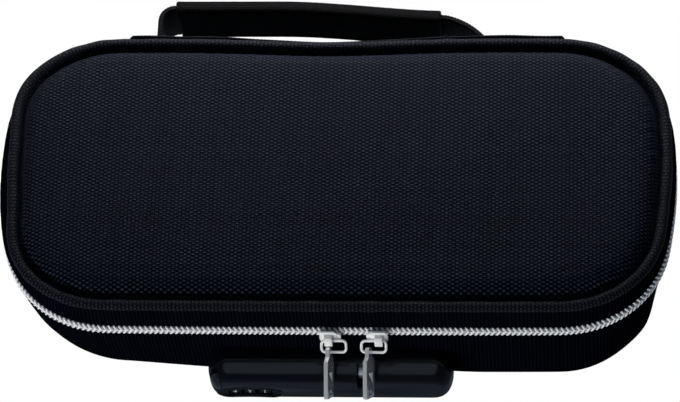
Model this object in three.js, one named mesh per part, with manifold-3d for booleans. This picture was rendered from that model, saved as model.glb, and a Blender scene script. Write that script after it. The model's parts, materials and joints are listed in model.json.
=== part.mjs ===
// Soft zip case with a combination lock, in millimetres.
// X runs to the right seen from the lock, Y runs from the lock to the handle, Z is up.
// The origin is the middle of the flat floor that the case rests on.
import * as THREE from 'three';
import { mergeVertices } from 'three/addons/utils/BufferGeometryUtils.js';
import Module from 'manifold-3d';

const wasm = await Module();
wasm.setup();

// Driving sizes of the case
const case_length = 250;
const case_depth = 114;
const corner_radius = 27;
const side_bow = 9;
const front_bow = 1;
const zip_height = 37.5;
const rim_height = 55;
const lid_crown = 5.5;
const seam_gap = 0.3;
const overrun = 2;

// Sewn walls
const wall_thickness = 3.2;
const floor_thickness = 2.4;
const floor_inset = 3;
const wall_inset = 0.8;
const hem_thickness = 0.8;
const hem_height = 4;
const foot_round = 2.2;
const lining_thickness = 0.8;
const binding_radius = 2.1;
const binding_inset = 3;

// Coil zip
const zip_pitch = 2;
const tooth_width = 1.8;
const tooth_height = 2.5;
const tooth_stand_out = 0.7;
const zip_slit = 0.8;
const tape_thickness = 0.7;
const tooth_root_share = 0.75;

// Spine patch that hinges the lid
const spine_left = 80;
const spine_right = 85;
const spine_thickness = 1.2;
const spine_foot = 3;

// Handle
const webbing_width = 25;
const webbing_thickness = 2.2;
const handle_height = 18;
const handle_reach = 24;
const handle_left = 73;
const handle_right = 62;
const handle_bend = 9;
const handle_slack_x = 8;
const handle_slack_y = 3.5;
const stub_radius = 8.4;
const grip_start = 66;
const grip_end = 41;
const grip_thickness = 1.6;
const grip_lip = 1.4;

// Sliders, rings and pull tabs
const slider_length = 12.4;
const slider_plate_length = 8;
const slider_height = 7.6;
const slider_plate = 1;
const slider_back_plate = 0.8;
const slider_clearance = 0.5;
const slider_nose = 2.2;
const post_thickness = 0.4;
const post_length = 2.6;
const slider_pair_gap = 0.6;
const slider_meeting_x = 7.9;
const crown_length = 3;
const crown_base_length = 6.2;
const crown_base_rise = 0.7;
const crown_width = 5.6;
const crown_thickness = 0.9;
const crown_round = 0.8;
const crown_from_tail = 3.4;
const ring_length = 10.4;
const ring_height = 6;
const ring_wire = 1.3;
const ring_play = 0.35;
const ring_shift = 1.9;
const ring_droop = 50;
const ring_corner = 1.3;
const pull_length = 20.5;
const pull_width = 8.5;
const pull_thickness = 2;
const pull_hang = 33;
const pull_turn = 15;
const pull_eye_radius = 1.1;
const pull_eye_wall = 0.8;
const pull_neck_width = 3.8;
const pull_triangle = 4.4;
const pull_triangle_from_tip = 8;
const pull_dot_radius = 0.8;
const pull_dot_from_tip = 2.6;
const pull_from_ring_end = 2.6;

// Lock
const lock_length = 92;
const lock_height = 21;
const lock_depth = 12.6;
const lock_x = -2;
const lock_foot = 1.5;
const lock_corner = 8;
const lock_edge = 4.2;
const lock_wall = 1.8;
const button_width = 5;
const button_low = 10.8;
const button_high = 19;
const button_depth = 3.2;
const button_travel = 2;
const stem_reach = 2.6;
const stem_width = 1.6;
const stem_height = 2.2;
const stem_from_end = 3;
const lock_clearance = 0.4;
const dial_count = 3;
const dish_from_end = 15.5;
const dish_from_foot = 6.8;
const dish_length = 25;
const dish_height = 9.6;
const dish_depth = 1.2;
const dish_floor_length = 21.5;
const dial_from_foot = 7;
const dial_pitch = 5.6;
const dial_width = 4.6;
const dial_radius = 5;
const dial_ribs = 20;
const dial_rib_depth = 0.45;
const dial_recess = 0.6;
const shaft_radius = 1.4;
const bush_radius = 2.7;
const running_gap = 0.1;
const slot_middle_x = 3.5;
const slot_width = 3;
const slot_pitch = 12.6;
const slot_depth = 10;
const chassis_thickness = 1;
const cheek_thickness = 1;
const cheek_height = 5;
const slot_reach = 6.5;
const detent_thickness = 0.4;
const latch_thickness = 1.2;
const latch_height = 3;
const latch_from_foot = 15.9;
const latch_finger = 2.4;
const latch_finger_reach = 5;
const latch_from_chassis = 2;
const back_plate_thickness = 1.5;
const screw_radius = 1.1;
const screw_head_radius = 2.3;
const screw_head_height = 1.3;
const screw_inset = 3.6;
const screw_rise = 5.6;
const screw_grip = 5;
const boss_radius = 2.4;
const reset_radius = 1.6;
const reset_from_middle = 8;
const reset_from_foot = 5;
const reset_proud = 1.2;
const reset_reach = 1.4;
const spring_radius = 1;
const spring_wire = 0.5;
const spring_turns = 4;

// Numbers of steps that set how finely round forms are cut
const corner_steps = 10;
const long_run_steps = 8;
const side_run_steps = 6;
const round_steps = 16;
const stub_steps = 32;
const hole_steps = 12;
const small_hole_steps = 8;
const screw_hole_steps = 10;
const binding_steps = 8;
const bend_steps = 6;
const wire_sides = 6;
const ring_corner_steps = 3;
const block_corner_steps = 4;
const block_edge_steps = 4;
const dish_steps = 24;
const spring_sides = 5;
const spring_turn_steps = 8;
const merge_distance = 1e-5;

const half = 0.5;
const round_share = 1 - Math.SQRT1_2;
const quarter_turn = Math.PI / 2;
const full_turn = Math.PI * 2;
const radians = (degrees) => THREE.MathUtils.degToRad(degrees);

// Materials, one for each mesh
const finish = (color, roughness, metalness) =>
  new THREE.MeshStandardMaterial({ color, roughness, metalness });
const cloth = () => finish(0x0b0d1a, 0.9, 0);
const lining_cloth = () => finish(0x1a1b20, 0.85, 0);
const silver = () => finish(0xc8c9cc, 0.3, 0.8);
const chrome = () => finish(0xd8d8da, 0.12, 1);
const black_plastic = () => finish(0x0c0e14, 0.38, 0);
const gloss_plastic = () => finish(0x08090d, 0.12, 0);
const steel = () => finish(0x9a9ca0, 0.35, 0.9);
const brass = () => finish(0xb08d45, 0.35, 0.9);

const group = new THREE.Group();

// A mesh is named and put into the group that carries it
function addPiece(name, geometry, material, parent = group) {
  const mesh = new THREE.Mesh(geometry, material);
  mesh.name = name;
  parent.add(mesh);
  return mesh;
}

// Six times the signed volume: it is negative where a mesh is inside out
function signedVolume(points, triangles) {
  let sum = 0;
  for (let i = 0; i < triangles.length; i += 3) {
    const [a, b, c] = [points[triangles[i]], points[triangles[i + 1]], points[triangles[i + 2]]];
    sum += a.dot(b.clone().cross(c));
  }
  return sum;
}

// A closed mesh from points and triangles, turned so that its faces point out
function solidFrom(points, triangles) {
  const turned = signedVolume(points, triangles) < 0 ? [...triangles].reverse() : triangles;
  const geometry = new THREE.BufferGeometry();
  const flat = points.flatMap((p) => [p.x, p.y, p.z]);
  geometry.setAttribute('position', new THREE.Float32BufferAttribute(flat, 3));
  geometry.setIndex(turned);
  return geometry;
}

// Rings of points joined into a skin: rings may close on themselves, and open ends get flat caps
function skinRings(rings, closed_loop, cap) {
  const points = rings.flat();
  const count = rings[0].length;
  const triangles = [];
  const last = closed_loop ? rings.length : rings.length - 1;
  for (let i = 0; i < last; i += 1) {
    const here = i * count;
    const next = ((i + 1) % rings.length) * count;
    for (let j = 0; j < count; j += 1) {
      const k = (j + 1) % count;
      triangles.push(here + j, next + j, next + k);
      triangles.push(here + j, next + k, here + k);
    }
  }
  if (!closed_loop) {
    const end = (rings.length - 1) * count;
    const turn = Math.sign(THREE.ShapeUtils.area(cap));
    THREE.ShapeUtils.triangulateShape(cap, []).forEach(([a, b, c]) => {
      const same_turn = Math.sign(THREE.ShapeUtils.area([cap[a], cap[b], cap[c]])) === turn;
      const [p, q] = same_turn ? [b, c] : [c, b];
      triangles.push(a, p, q);
      triangles.push(end + a, end + q, end + p);
    });
  }
  return { points, triangles };
}

// Solids that manifold-3d can join and cut
function toManifold(geometry) {
  const bare = geometry.clone();
  bare.deleteAttribute('normal');
  bare.deleteAttribute('uv');
  const merged = mergeVertices(bare, merge_distance);
  return new wasm.Manifold(new wasm.Mesh({
    numProp: 3,
    vertProperties: new Float32Array(merged.attributes.position.array),
    triVerts: new Uint32Array(merged.index.array),
  }));
}

function fromManifold(solid) {
  const mesh = solid.getMesh();
  const geometry = new THREE.BufferGeometry();
  geometry.setAttribute('position', new THREE.BufferAttribute(new Float32Array(mesh.vertProperties), 3));
  geometry.setIndex(new THREE.BufferAttribute(new Uint32Array(mesh.triVerts), 1));
  return geometry;
}

// The first solid with some joined to it and others cut from it
function combine(base, { within = [], add = [], cut = [] }) {
  let solid = toManifold(base);
  within.forEach((piece) => {
    solid = solid.intersect(toManifold(piece));
  });
  add.forEach((piece) => {
    solid = solid.add(toManifold(piece));
  });
  cut.forEach((piece) => {
    solid = solid.subtract(toManifold(piece));
  });
  return fromManifold(solid);
}

// Several separate solids in one mesh
function bundle(pieces) {
  const points = [];
  const index = [];
  pieces.forEach((piece) => {
    const start = points.length / 3;
    points.push(...piece.attributes.position.array);
    index.push(...Array.from(piece.index.array, (i) => i + start));
  });
  const geometry = new THREE.BufferGeometry();
  geometry.setAttribute('position', new THREE.Float32BufferAttribute(points, 3));
  geometry.setIndex(index);
  return geometry;
}

const placed = (geometry, x, y, z) => geometry.clone().translate(x, y, z);

// A cylinder whose axis runs along X, Y or Z
function rod(radius, length, axis, steps = round_steps) {
  const geometry = new THREE.CylinderGeometry(radius, radius, length, steps);
  if (axis === 'x') geometry.rotateZ(quarter_turn);
  if (axis === 'z') geometry.rotateX(quarter_turn);
  return geometry;
}

// Plan outline of the case: a rounded rectangle whose sides bow outwards.
// It starts at the middle of the back and goes round by the left side.
function planPoints() {
  const run_x = case_length * half - side_bow;
  const run_y = case_depth * half - front_bow;
  const corner_x = run_x - corner_radius;
  const corner_y = run_y - corner_radius;
  const raw = [];
  const addRun = (x0, y0, x1, y1, steps) => {
    for (let i = 0; i < steps; i += 1) {
      const share = i / steps;
      raw.push([x0 + (x1 - x0) * share, y0 + (y1 - y0) * share]);
    }
  };
  const addCorner = (x, y, start) => {
    for (let i = 0; i < corner_steps; i += 1) {
      const angle = start + quarter_turn * (i / corner_steps);
      raw.push([x + corner_radius * Math.cos(angle), y + corner_radius * Math.sin(angle)]);
    }
  };
  const half_long = long_run_steps * half;
  addRun(0, run_y, -corner_x, run_y, half_long);
  addCorner(-corner_x, corner_y, quarter_turn);
  addRun(-run_x, corner_y, -run_x, -corner_y, side_run_steps);
  addCorner(-corner_x, -corner_y, Math.PI);
  addRun(-corner_x, -run_y, corner_x, -run_y, long_run_steps);
  addCorner(corner_x, -corner_y, -quarter_turn);
  addRun(run_x, -corner_y, run_x, corner_y, side_run_steps);
  addCorner(corner_x, corner_y, 0);
  addRun(corner_x, run_y, 0, run_y, half_long);
  return raw.map(([x, y]) => {
    const share_x = x / run_x;
    const share_y = y / run_y;
    return new THREE.Vector2(
      x + side_bow * share_x * (1 - share_y ** 2),
      y + front_bow * share_y * (1 - share_x ** 4),
    );
  });
}

// The outline with its outward normals and the length walked to each point
const plan = planPoints();
const plan_count = plan.length;
const at = (i) => plan[(i + plan_count) % plan_count];
const plan_normals = plan.map((_, i) => {
  const along = at(i + 1).clone().sub(at(i - 1)).normalize();
  return new THREE.Vector2(along.y, -along.x).negate();
});
const walked = [0];
plan.forEach((point, i) => walked.push(walked[i] + point.distanceTo(at(i + 1))));
const girth = walked[plan_count];
if (plan_normals[0].y < 0) plan_normals.forEach((normal) => normal.negate());

// The point and normal a given length along the outline
function stationAt(length) {
  let i = 0;
  while (i < plan_count - 1 && walked[i + 1] < length) i += 1;
  const share = (length - walked[i]) / (walked[i + 1] - walked[i]);
  const next = (i + 1) % plan_count;
  return {
    point: plan[i].clone().lerp(plan[next], share),
    normal: plan_normals[i].clone().lerp(plan_normals[next], share).normalize(),
  };
}

const all_stations = plan.map((point, i) => ({ point, normal: plan_normals[i] }));

// Stations from one length to another, with every corner of the outline between
function stationsBetween(start, end) {
  const inner = all_stations.filter((_, i) => walked[i] > start && walked[i] < end);
  return [stationAt(start), ...inner, stationAt(end)];
}

// A section of [inset, height] pairs carried along stations of the outline
function sweep(section, stations, closed_loop) {
  const rings = stations.map(({ point, normal }) => section.map(([inset, z]) =>
    new THREE.Vector3(point.x - normal.x * inset, point.y - normal.y * inset, z)));
  const cap = section.map(([inset, z]) => new THREE.Vector2(inset, z));
  const skin = skinRings(rings, closed_loop, cap);
  return solidFrom(skin.points, skin.triangles);
}

const sweepRound = (section) => sweep(section, all_stations, true);

// Stacked plan rings of [inset, height], closed by a flat face at both ends
function stack(levels) {
  const rings = levels.map(([inset, z]) => all_stations.map(({ point, normal }) =>
    new THREE.Vector3(point.x - normal.x * inset, point.y - normal.y * inset, z)));
  const skin = skinRings(rings, false, plan);
  return solidFrom(skin.points, skin.triangles);
}

// Heights and insets that the sewn pieces share
const chain_half = tooth_height + zip_slit * half;
const base_top = zip_height - chain_half - seam_gap;
const lid_foot = zip_height + chain_half + seam_gap;
const wall_outer = wall_inset * half;
const wall_inner = wall_inset + wall_thickness;
const hem_inner = wall_inset + hem_thickness;
const tape_outer = hem_inner + seam_gap;
const tape_inner = tape_outer + tape_thickness;
const lining_outer = wall_inner + seam_gap;
const tooth_back = tape_outer + tape_thickness * half;
const tooth_front = -tooth_stand_out;

// Base: floor with a rolled edge, padded side wall that thins to a hem, and lining tray
const base_floor_shape = stack([
  [floor_inset + foot_round, 0],
  [floor_inset + foot_round * round_share, foot_round * round_share],
  [floor_inset, foot_round],
  [floor_inset, floor_thickness],
]);

const base_foot = floor_thickness + seam_gap;
const base_middle = (base_foot + base_top) * half;
const base_wall_shape = sweepRound([
  [floor_inset, base_foot],
  [wall_inset, base_foot + foot_round * 2],
  [wall_outer, base_middle],
  [wall_inset, base_top],
  [hem_inner, base_top],
  [hem_inner, base_top - hem_height],
  [wall_inner, base_top - hem_height - hem_thickness * 2],
  [wall_inner + wall_inset, base_foot],
]);

const lining_top = base_top - hem_height - hem_thickness * 2;
const lining_foot = base_foot;
const tray_outer = lining_outer + wall_inset;
const tray_rim = [
  [tray_outer, lining_foot],
  [tray_outer, lining_top],
  [tray_outer + lining_thickness, lining_top],
  [tray_outer + lining_thickness, lining_foot + lining_thickness],
];

// A tray is a stack of rings up the outside, over the rim and down the inside
const base_lining_shape = stack(tray_rim);

// Lid: side wall, corded binding, crowned panel and lining
const rim_foot = rim_height - binding_radius - seam_gap;
const lid_middle = (lid_foot + rim_foot) * half;
const rim_outer = binding_inset - binding_radius;
const lid_wall_shape = sweepRound([
  [wall_inset, lid_foot],
  [wall_outer, lid_middle],
  [rim_outer, rim_foot],
  [rim_outer + wall_thickness, rim_foot],
  [wall_inner, lid_foot + hem_height + hem_thickness * 2],
  [hem_inner, lid_foot + hem_height],
  [hem_inner, lid_foot],
]);

// The binding is a cord in a folded tape: a round section carried along the rim
const binding_section = Array.from({ length: binding_steps }, (_, i) => {
  const angle = full_turn * (i / binding_steps);
  return [
    binding_inset + binding_radius * Math.cos(angle),
    rim_height + binding_radius * Math.sin(angle),
  ];
});
const lid_binding_shape = sweepRound(binding_section);

// The panel bulges upwards: each ring of the outline shrinks towards the long middle line,
// and its height follows a steep rise at the edge and a flat top. It lies inside the binding.
const panel_shares = [0, 0.03, 0.08, 0.17, 0.32, 0.55, 0.8];
const panel_rise = (share) => 1 - (1 - share) ** 3;
const middle_reach = (case_length - case_depth) * half;
const panel_inset = binding_inset + binding_radius + seam_gap;
const panel_under = rim_foot;

function panelRing(share, z) {
  return all_stations.map(({ point, normal }) => {
    const x = point.x - normal.x * panel_inset;
    const y = point.y - normal.y * panel_inset;
    const middle_x = THREE.MathUtils.clamp(x, -middle_reach, middle_reach);
    return new THREE.Vector3(x + (middle_x - x) * share, y * (1 - share), z);
  });
}

const panel_rings = [
  panelRing(0, panel_under),
  ...panel_shares.map((share) => panelRing(share, rim_height + lid_crown * panel_rise(share))),
];
const panel_plan = panel_rings[0].map((p) => new THREE.Vector2(p.x, p.y));
const panel_skin = skinRings(panel_rings, false, panel_plan);
const lid_panel_shape = solidFrom(panel_skin.points, panel_skin.triangles);

const ceiling = panel_under - seam_gap;
const lid_lining_foot = lid_foot + hem_height + hem_thickness * 2;
const lid_lining_outer = Math.max(rim_outer + wall_thickness, wall_inner) + seam_gap;
const lid_lining_shape = stack([
  [lid_lining_outer, ceiling],
  [lid_lining_outer, lid_lining_foot],
  [lid_lining_outer + lining_thickness, lid_lining_foot],
  [lid_lining_outer + lining_thickness, ceiling - lining_thickness],
]);

// Zip tapes run from one end of the spine patch round the front to the other
const zip_start = spine_left + seam_gap;
const zip_end = girth - spine_right - seam_gap;
const zip_stations = stationsBetween(zip_start, zip_end);
const row_gap = zip_slit * half;
const head_gap = row_gap + seam_gap * half;

function tapeShape(foot, top) {
  return sweep([
    [tape_outer, foot],
    [tape_outer, top],
    [tape_inner, top],
    [tape_inner, foot],
  ], zip_stations, false);
}

const base_tape_shape = tapeShape(base_top - hem_height + seam_gap, zip_height - row_gap);
const lid_tape_shape = tapeShape(zip_height + row_gap, lid_foot + hem_height - seam_gap);

// One loop of the coil shows as a ridge that is wide at the head and narrow at the root
function toothAt(length, head_z, root_z) {
  const { point, normal } = stationAt(length);
  const along = new THREE.Vector2(-normal.y, normal.x);
  const corner = (side, width, inset, z) => new THREE.Vector3(
    point.x - normal.x * inset + along.x * side * width * half,
    point.y - normal.y * inset + along.y * side * width * half,
    z,
  );
  const root_width = tooth_width * tooth_root_share;
  const ring = (width, z) => [
    corner(0, width, tooth_front, z),
    corner(1, width, tooth_back, z),
    corner(-1, width, tooth_back, z),
  ];
  const wedge = [[0, 0], [1, 1], [-1, 1]].map(([x, y]) => new THREE.Vector2(x, y));
  const skin = skinRings([ring(root_width, root_z), ring(tooth_width, head_z)], false, wedge);
  return solidFrom(skin.points, skin.triangles);
}

// The two rows are half a pitch apart, so that the loops of one face the gaps of the other
function toothRow(shift, head_z, root_z) {
  const room = zip_end - zip_start - zip_pitch;
  const count = Math.floor(room / zip_pitch);
  const first = zip_start + zip_pitch * half + shift;
  return bundle(Array.from({ length: count }, (_, i) => toothAt(first + i * zip_pitch, head_z, root_z)));
}

// A coil is stitched down along its tape, so each row and its tape are one piece
const base_zip_row_shape = combine(base_tape_shape, {
  add: [toothRow(0, zip_height - head_gap, zip_height - chain_half)],
});
const lid_zip_row_shape = combine(lid_tape_shape, {
  add: [toothRow(zip_pitch * half, zip_height + head_gap, zip_height + chain_half)],
});

// The spine patch is one strip of ribbed cloth, cut here at the hinge line
const spine_stations = [
  ...stationsBetween(girth - spine_right, girth - seam_gap * half),
  ...stationsBetween(0, spine_left),
];
const spine_inner = -seam_gap;
const spine_outer = spine_inner - spine_thickness;

function spineShape(levels) {
  const inner = [...levels].reverse().map(([inset, z]) => [inset + spine_inner, z]);
  const outer = levels.map(([inset, z]) => [inset + spine_outer, z]);
  return sweep([...outer, ...inner], spine_stations, false);
}

const spine_base_shape = spineShape([
  [wall_inset, spine_foot + foot_round],
  [0, base_middle],
  [0, zip_height - seam_gap * half],
]);
const spine_lid_shape = spineShape([
  [0, zip_height + seam_gap * half],
  [0, lid_middle],
  [0, rim_height],
]);

addPiece('base_floor', base_floor_shape, cloth());
addPiece('base_wall', base_wall_shape, cloth());
addPiece('base_lining', base_lining_shape, lining_cloth());
addPiece('base_zip_row', base_zip_row_shape, silver());
addPiece('spine_base', spine_base_shape, cloth());
addPiece('spine_lid', spine_lid_shape, cloth());
addPiece('lid_wall', lid_wall_shape, cloth());
addPiece('lid_binding', lid_binding_shape, cloth());
addPiece('lid_panel', lid_panel_shape, cloth());
addPiece('lid_lining', lid_lining_shape, lining_cloth());
addPiece('lid_zip_row', lid_zip_row_shape, silver());

// Handle: a webbing strap on edge, which leaves the spine patch square, bends and comes back.
// Its ends turn on stubs that are sewn under the ends of the patch.
const patch_face = case_depth * half - spine_outer;
const strap_z = handle_height;
const strap_end_y = patch_face + stub_radius * half + seam_gap;
const strap_back_y = patch_face + handle_reach;

// A strip on edge: a path in plan given thickness to both sides, then raised to the webbing's width
function stripOnEdge(path, thickness, width) {
  const rings = path.map((point, i) => {
    const before = path[Math.max(i - 1, 0)];
    const after = path[Math.min(i + 1, path.length - 1)];
    const along = after.clone().sub(before).normalize();
    const side = new THREE.Vector2(-along.y, along.x).multiplyScalar(thickness * half);
    return [[1, -1], [1, 1], [-1, 1], [-1, -1]].map(([across, up]) => new THREE.Vector3(
      point.x + side.x * across,
      point.y + side.y * across,
      up * width * half,
    ));
  });
  const square = [[1, -1], [1, 1], [-1, 1], [-1, -1]].map(([x, y]) => new THREE.Vector2(x, y));
  const skin = skinRings(rings, false, square);
  return solidFrom(skin.points, skin.triangles);
}

// Plan of the strap: out square from the wall, round a bend, along the grip, round and back in
function bendPoints(centre_x, centre_y, radius, from, to) {
  return Array.from({ length: bend_steps + 1 }, (_, i) => {
    const angle = from + (to - from) * (i / bend_steps);
    return new THREE.Vector2(centre_x + radius * Math.cos(angle), centre_y + radius * Math.sin(angle));
  });
}

// The right end is slack: it curves back to the wall along a slant
const slack_curve = new THREE.QuadraticBezierCurve(
  new THREE.Vector2(grip_end, strap_back_y),
  new THREE.Vector2(handle_right - handle_slack_x, strap_back_y - handle_slack_y),
  new THREE.Vector2(handle_right, strap_end_y),
);
const strap_path = [
  new THREE.Vector2(-handle_left, strap_end_y),
  ...bendPoints(-handle_left + handle_bend, strap_back_y - handle_bend, handle_bend, Math.PI, quarter_turn),
  ...slack_curve.getPoints(bend_steps * 2),
];

// The strap ends are hollowed round the stubs, so that the loop can swing up and down
const stub_hollow = bundle([-handle_left, handle_right].map((x) =>
  placed(rod(stub_radius + seam_gap, webbing_thickness + overrun * 4, 'x', stub_steps), x, patch_face, 0)));
const handle_strap_shape = combine(
  stripOnEdge(strap_path, webbing_thickness, webbing_width),
  { cut: [stub_hollow] },
);

const grip_path = [
  new THREE.Vector2(-grip_start + handle_bend * half, strap_back_y),
  new THREE.Vector2(grip_end - grip_lip, strap_back_y),
];
const tunnel_path = [
  grip_path[0].clone().setX(grip_path[0].x - overrun),
  grip_path[1].clone().setX(grip_path[1].x + overrun),
];
const grip_inner = webbing_thickness + seam_gap * 2;
const grip_outer = grip_inner + grip_thickness * 2;
const handle_grip_shape = combine(
  stripOnEdge(grip_path, grip_outer, webbing_width + (seam_gap + grip_thickness) * 2),
  { cut: [stripOnEdge(tunnel_path, grip_inner, webbing_width + seam_gap * 2)] },
);

const handle = new THREE.Group();
handle.position.set(0, 0, strap_z);
group.add(handle);
addPiece('handle_strap', handle_strap_shape, cloth(), handle);
addPiece('handle_grip', handle_grip_shape, cloth(), handle);

// A stub is the sewn end of the webbing: a half disc that stands out of the patch
function stubShape() {
  const disc = rod(stub_radius, webbing_thickness, 'x', stub_steps);
  const behind_height = stub_radius * 2 + overrun;
  const behind = new THREE.BoxGeometry(webbing_thickness + overrun, stub_radius * 2, behind_height);
  behind.translate(0, -stub_radius + seam_gap, 0);
  return combine(disc, { cut: [behind] });
}

addPiece('handle_stub_left', stubShape(), cloth()).position.set(-handle_left, patch_face, strap_z);
addPiece('handle_stub_right', stubShape(), cloth()).position.set(handle_right, patch_face, strap_z);

// Slider: its own frame has the nose at the origin, the tail towards -X and the face towards -Y
const slider_front = tooth_stand_out + slider_clearance;
const slider_back = tape_inner + slider_clearance;
const slider_tail = -slider_length;
const crown_middle = slider_tail + crown_from_tail;
const ring_reach = ring_wire * half + ring_play;
const plate_face = -slider_front - slider_plate;

function boxBetween(x0, x1, y0, y1, z0, z1) {
  const box = new THREE.BoxGeometry(x1 - x0, y1 - y0, z1 - z0);
  return box.translate((x0 + x1) * half, (y0 + y1) * half, (z0 + z1) * half);
}

// A flat shape in X and Z given a thickness from y0 to y1
function plateXZ(shape, y0, y1, curve_steps = round_steps * half) {
  const options = { depth: y1 - y0, bevelEnabled: false, curveSegments: curve_steps };
  const plate = new THREE.ExtrudeGeometry(shape, options);
  return plate.rotateX(quarter_turn).translate(0, y1, 0);
}

// The front plate is a shield: square at the tail and drawn in towards the nose
function sliderPlate(length, height, tail) {
  const shape = new THREE.Shape();
  shape.moveTo(tail, -height * half + crown_round);
  shape.lineTo(tail + crown_round, -height * half);
  shape.lineTo(tail + length - slider_nose, -height * half);
  shape.lineTo(tail + length, -height * half + slider_nose);
  shape.lineTo(tail + length, height * half - slider_nose);
  shape.lineTo(tail + length - slider_nose, height * half);
  shape.lineTo(tail + crown_round, height * half);
  shape.lineTo(tail, height * half - crown_round);
  shape.closePath();
  return shape;
}

// The crown is an arch across the plate: the ring lies in the tunnel under it
const tunnel_depth = ring_wire + ring_play * 2;
const crown_face = plate_face - tunnel_depth - crown_thickness;
const tunnel_half = crown_width * half - crown_thickness;

function crownShape() {
  const outer = new THREE.Shape();
  const side = crown_width * half;
  outer.moveTo(plate_face + slider_plate * half, -side);
  outer.lineTo(crown_face + crown_round, -side);
  outer.lineTo(crown_face, -side + crown_round);
  outer.lineTo(crown_face, side - crown_round);
  outer.lineTo(crown_face + crown_round, side);
  outer.lineTo(plate_face + slider_plate * half, side);
  outer.closePath();
  const arch = new THREE.ExtrudeGeometry(outer, { depth: crown_length, bevelEnabled: false });
  const tunnel = new THREE.BoxGeometry(tunnel_depth, tunnel_half * 2, crown_length + overrun * 2);
  tunnel.translate(plate_face - tunnel_depth * half, 0, crown_length * half);
  // The arch is drawn across Y and Z, and its length becomes X
  const turn = new THREE.Matrix4().set(0, 0, 1, 0, 1, 0, 0, 0, 0, 1, 0, 0, 0, 0, 0, 1);
  return combine(arch, { cut: [tunnel] })
    .applyMatrix4(turn)
    .translate(crown_middle - crown_length * half, 0, 0);
}

function sliderShape() {
  const front_plate = sliderPlate(slider_plate_length, slider_height, slider_tail);
  const front = plateXZ(front_plate, plate_face, -slider_front);
  const back = plateXZ(
    sliderPlate(slider_length, slider_height, slider_tail),
    slider_back,
    slider_back + slider_back_plate,
  );
  const post_x = slider_tail + slider_plate_length - slider_nose;
  const post = boxBetween(
    post_x - post_length, post_x,
    plate_face + slider_plate * half, slider_back + slider_back_plate * half,
    -post_thickness * half, post_thickness * half,
  );
  const pad = boxBetween(
    crown_middle - crown_base_length * half, crown_middle + crown_base_length * half,
    plate_face - crown_base_rise * half, plate_face + slider_plate * half,
    -crown_width * half, crown_width * half,
  );
  return combine(front, { add: [back, post, pad, crownShape()] });
}

// A ring is a wire bent to a rounded rectangle: X along its long bars, and Z down its short ones
const bar_span = ring_length - ring_wire;
const bar_drop = ring_height - ring_wire;

function ringShape() {
  const half_x = bar_span * half;
  const corners = [
    [half_x - ring_corner, -ring_corner, 0],
    [-half_x + ring_corner, -ring_corner, quarter_turn],
    [-half_x + ring_corner, -bar_drop + ring_corner, Math.PI],
    [half_x - ring_corner, -bar_drop + ring_corner, Math.PI + quarter_turn],
  ];
  const path = corners.flatMap(([x, z, start]) => Array.from({ length: ring_corner_steps + 1 }, (_, i) => {
    const angle = start + quarter_turn * (i / ring_corner_steps);
    return { x: x + ring_corner * Math.cos(angle), z: z + ring_corner * Math.sin(angle), angle };
  }));
  const rings = path.map(({ x, z, angle }) => Array.from({ length: wire_sides }, (_, k) => {
    const turn = full_turn * (k / wire_sides);
    const out = ring_wire * half * Math.cos(turn);
    const across = ring_wire * half * Math.sin(turn);
    return new THREE.Vector3(x + out * Math.cos(angle), across, z + out * Math.sin(angle));
  }));
  const skin = skinRings(rings, true, []);
  return solidFrom(skin.points, skin.triangles);
}

// A pull tab hangs from its eye, down along -Z: a flat tab with a neck, a triangle and a dot hole
function pullShape() {
  const neck = pull_neck_width * half;
  const side = pull_width * half;
  const top = pull_eye_radius + pull_eye_wall;
  const tip = top - pull_length;
  const shoulder = -top - pull_eye_wall;
  const shape = new THREE.Shape();
  shape.moveTo(-neck + crown_round, top);
  shape.lineTo(neck - crown_round, top);
  shape.lineTo(neck, top - crown_round);
  shape.lineTo(neck, shoulder + crown_round);
  shape.lineTo(side, shoulder - crown_round);
  shape.lineTo(side, tip + crown_round);
  shape.lineTo(side - crown_round, tip);
  shape.lineTo(-side + crown_round, tip);
  shape.lineTo(-side, tip + crown_round);
  shape.lineTo(-side, shoulder - crown_round);
  shape.lineTo(-neck, shoulder + crown_round);
  shape.lineTo(-neck, top - crown_round);
  shape.closePath();
  const low = tip + pull_triangle_from_tip - pull_triangle * half;
  const triangle = new THREE.Shape();
  triangle.moveTo(-pull_triangle * half, low + pull_triangle);
  triangle.lineTo(pull_triangle * half, low + pull_triangle);
  triangle.lineTo(pull_triangle * half, low);
  triangle.closePath();
  // Both are drawn across X and Y: X becomes depth, Y becomes height and the thickness runs along X
  const turn = new THREE.Matrix4().set(0, 0, 1, 0, 1, 0, 0, 0, 0, 1, 0, 0, 0, 0, 0, 1);
  const raise = (flat_shape, thickness) =>
    new THREE.ExtrudeGeometry(flat_shape, { depth: thickness, bevelEnabled: false })
      .applyMatrix4(turn)
      .translate(-thickness * half, 0, 0);
  const through = pull_thickness + overrun;
  const eye = rod(pull_eye_radius, through, 'x', hole_steps);
  const dot = placed(rod(pull_dot_radius, through, 'x', small_hole_steps), 0, 0, tip + pull_dot_from_tip);
  return combine(raise(shape, pull_thickness), { cut: [eye, dot, raise(triangle, through)] });
}

// A mirrored copy for the right-hand side keeps its faces pointing out
function mirrorX(geometry) {
  const copy = mergeVertices(dropExtras(geometry), merge_distance);
  copy.scale(-1, 1, 1);
  copy.setIndex(Array.from(copy.index.array).reverse());
  return copy;
}

function dropExtras(geometry) {
  const bare = geometry.clone();
  bare.deleteAttribute('normal');
  bare.deleteAttribute('uv');
  return bare;
}

const case_front = -case_depth * half;
const ring_pivot_y = plate_face - tunnel_depth * half;
const ring_pivot_z = -tunnel_half + ring_reach;

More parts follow.
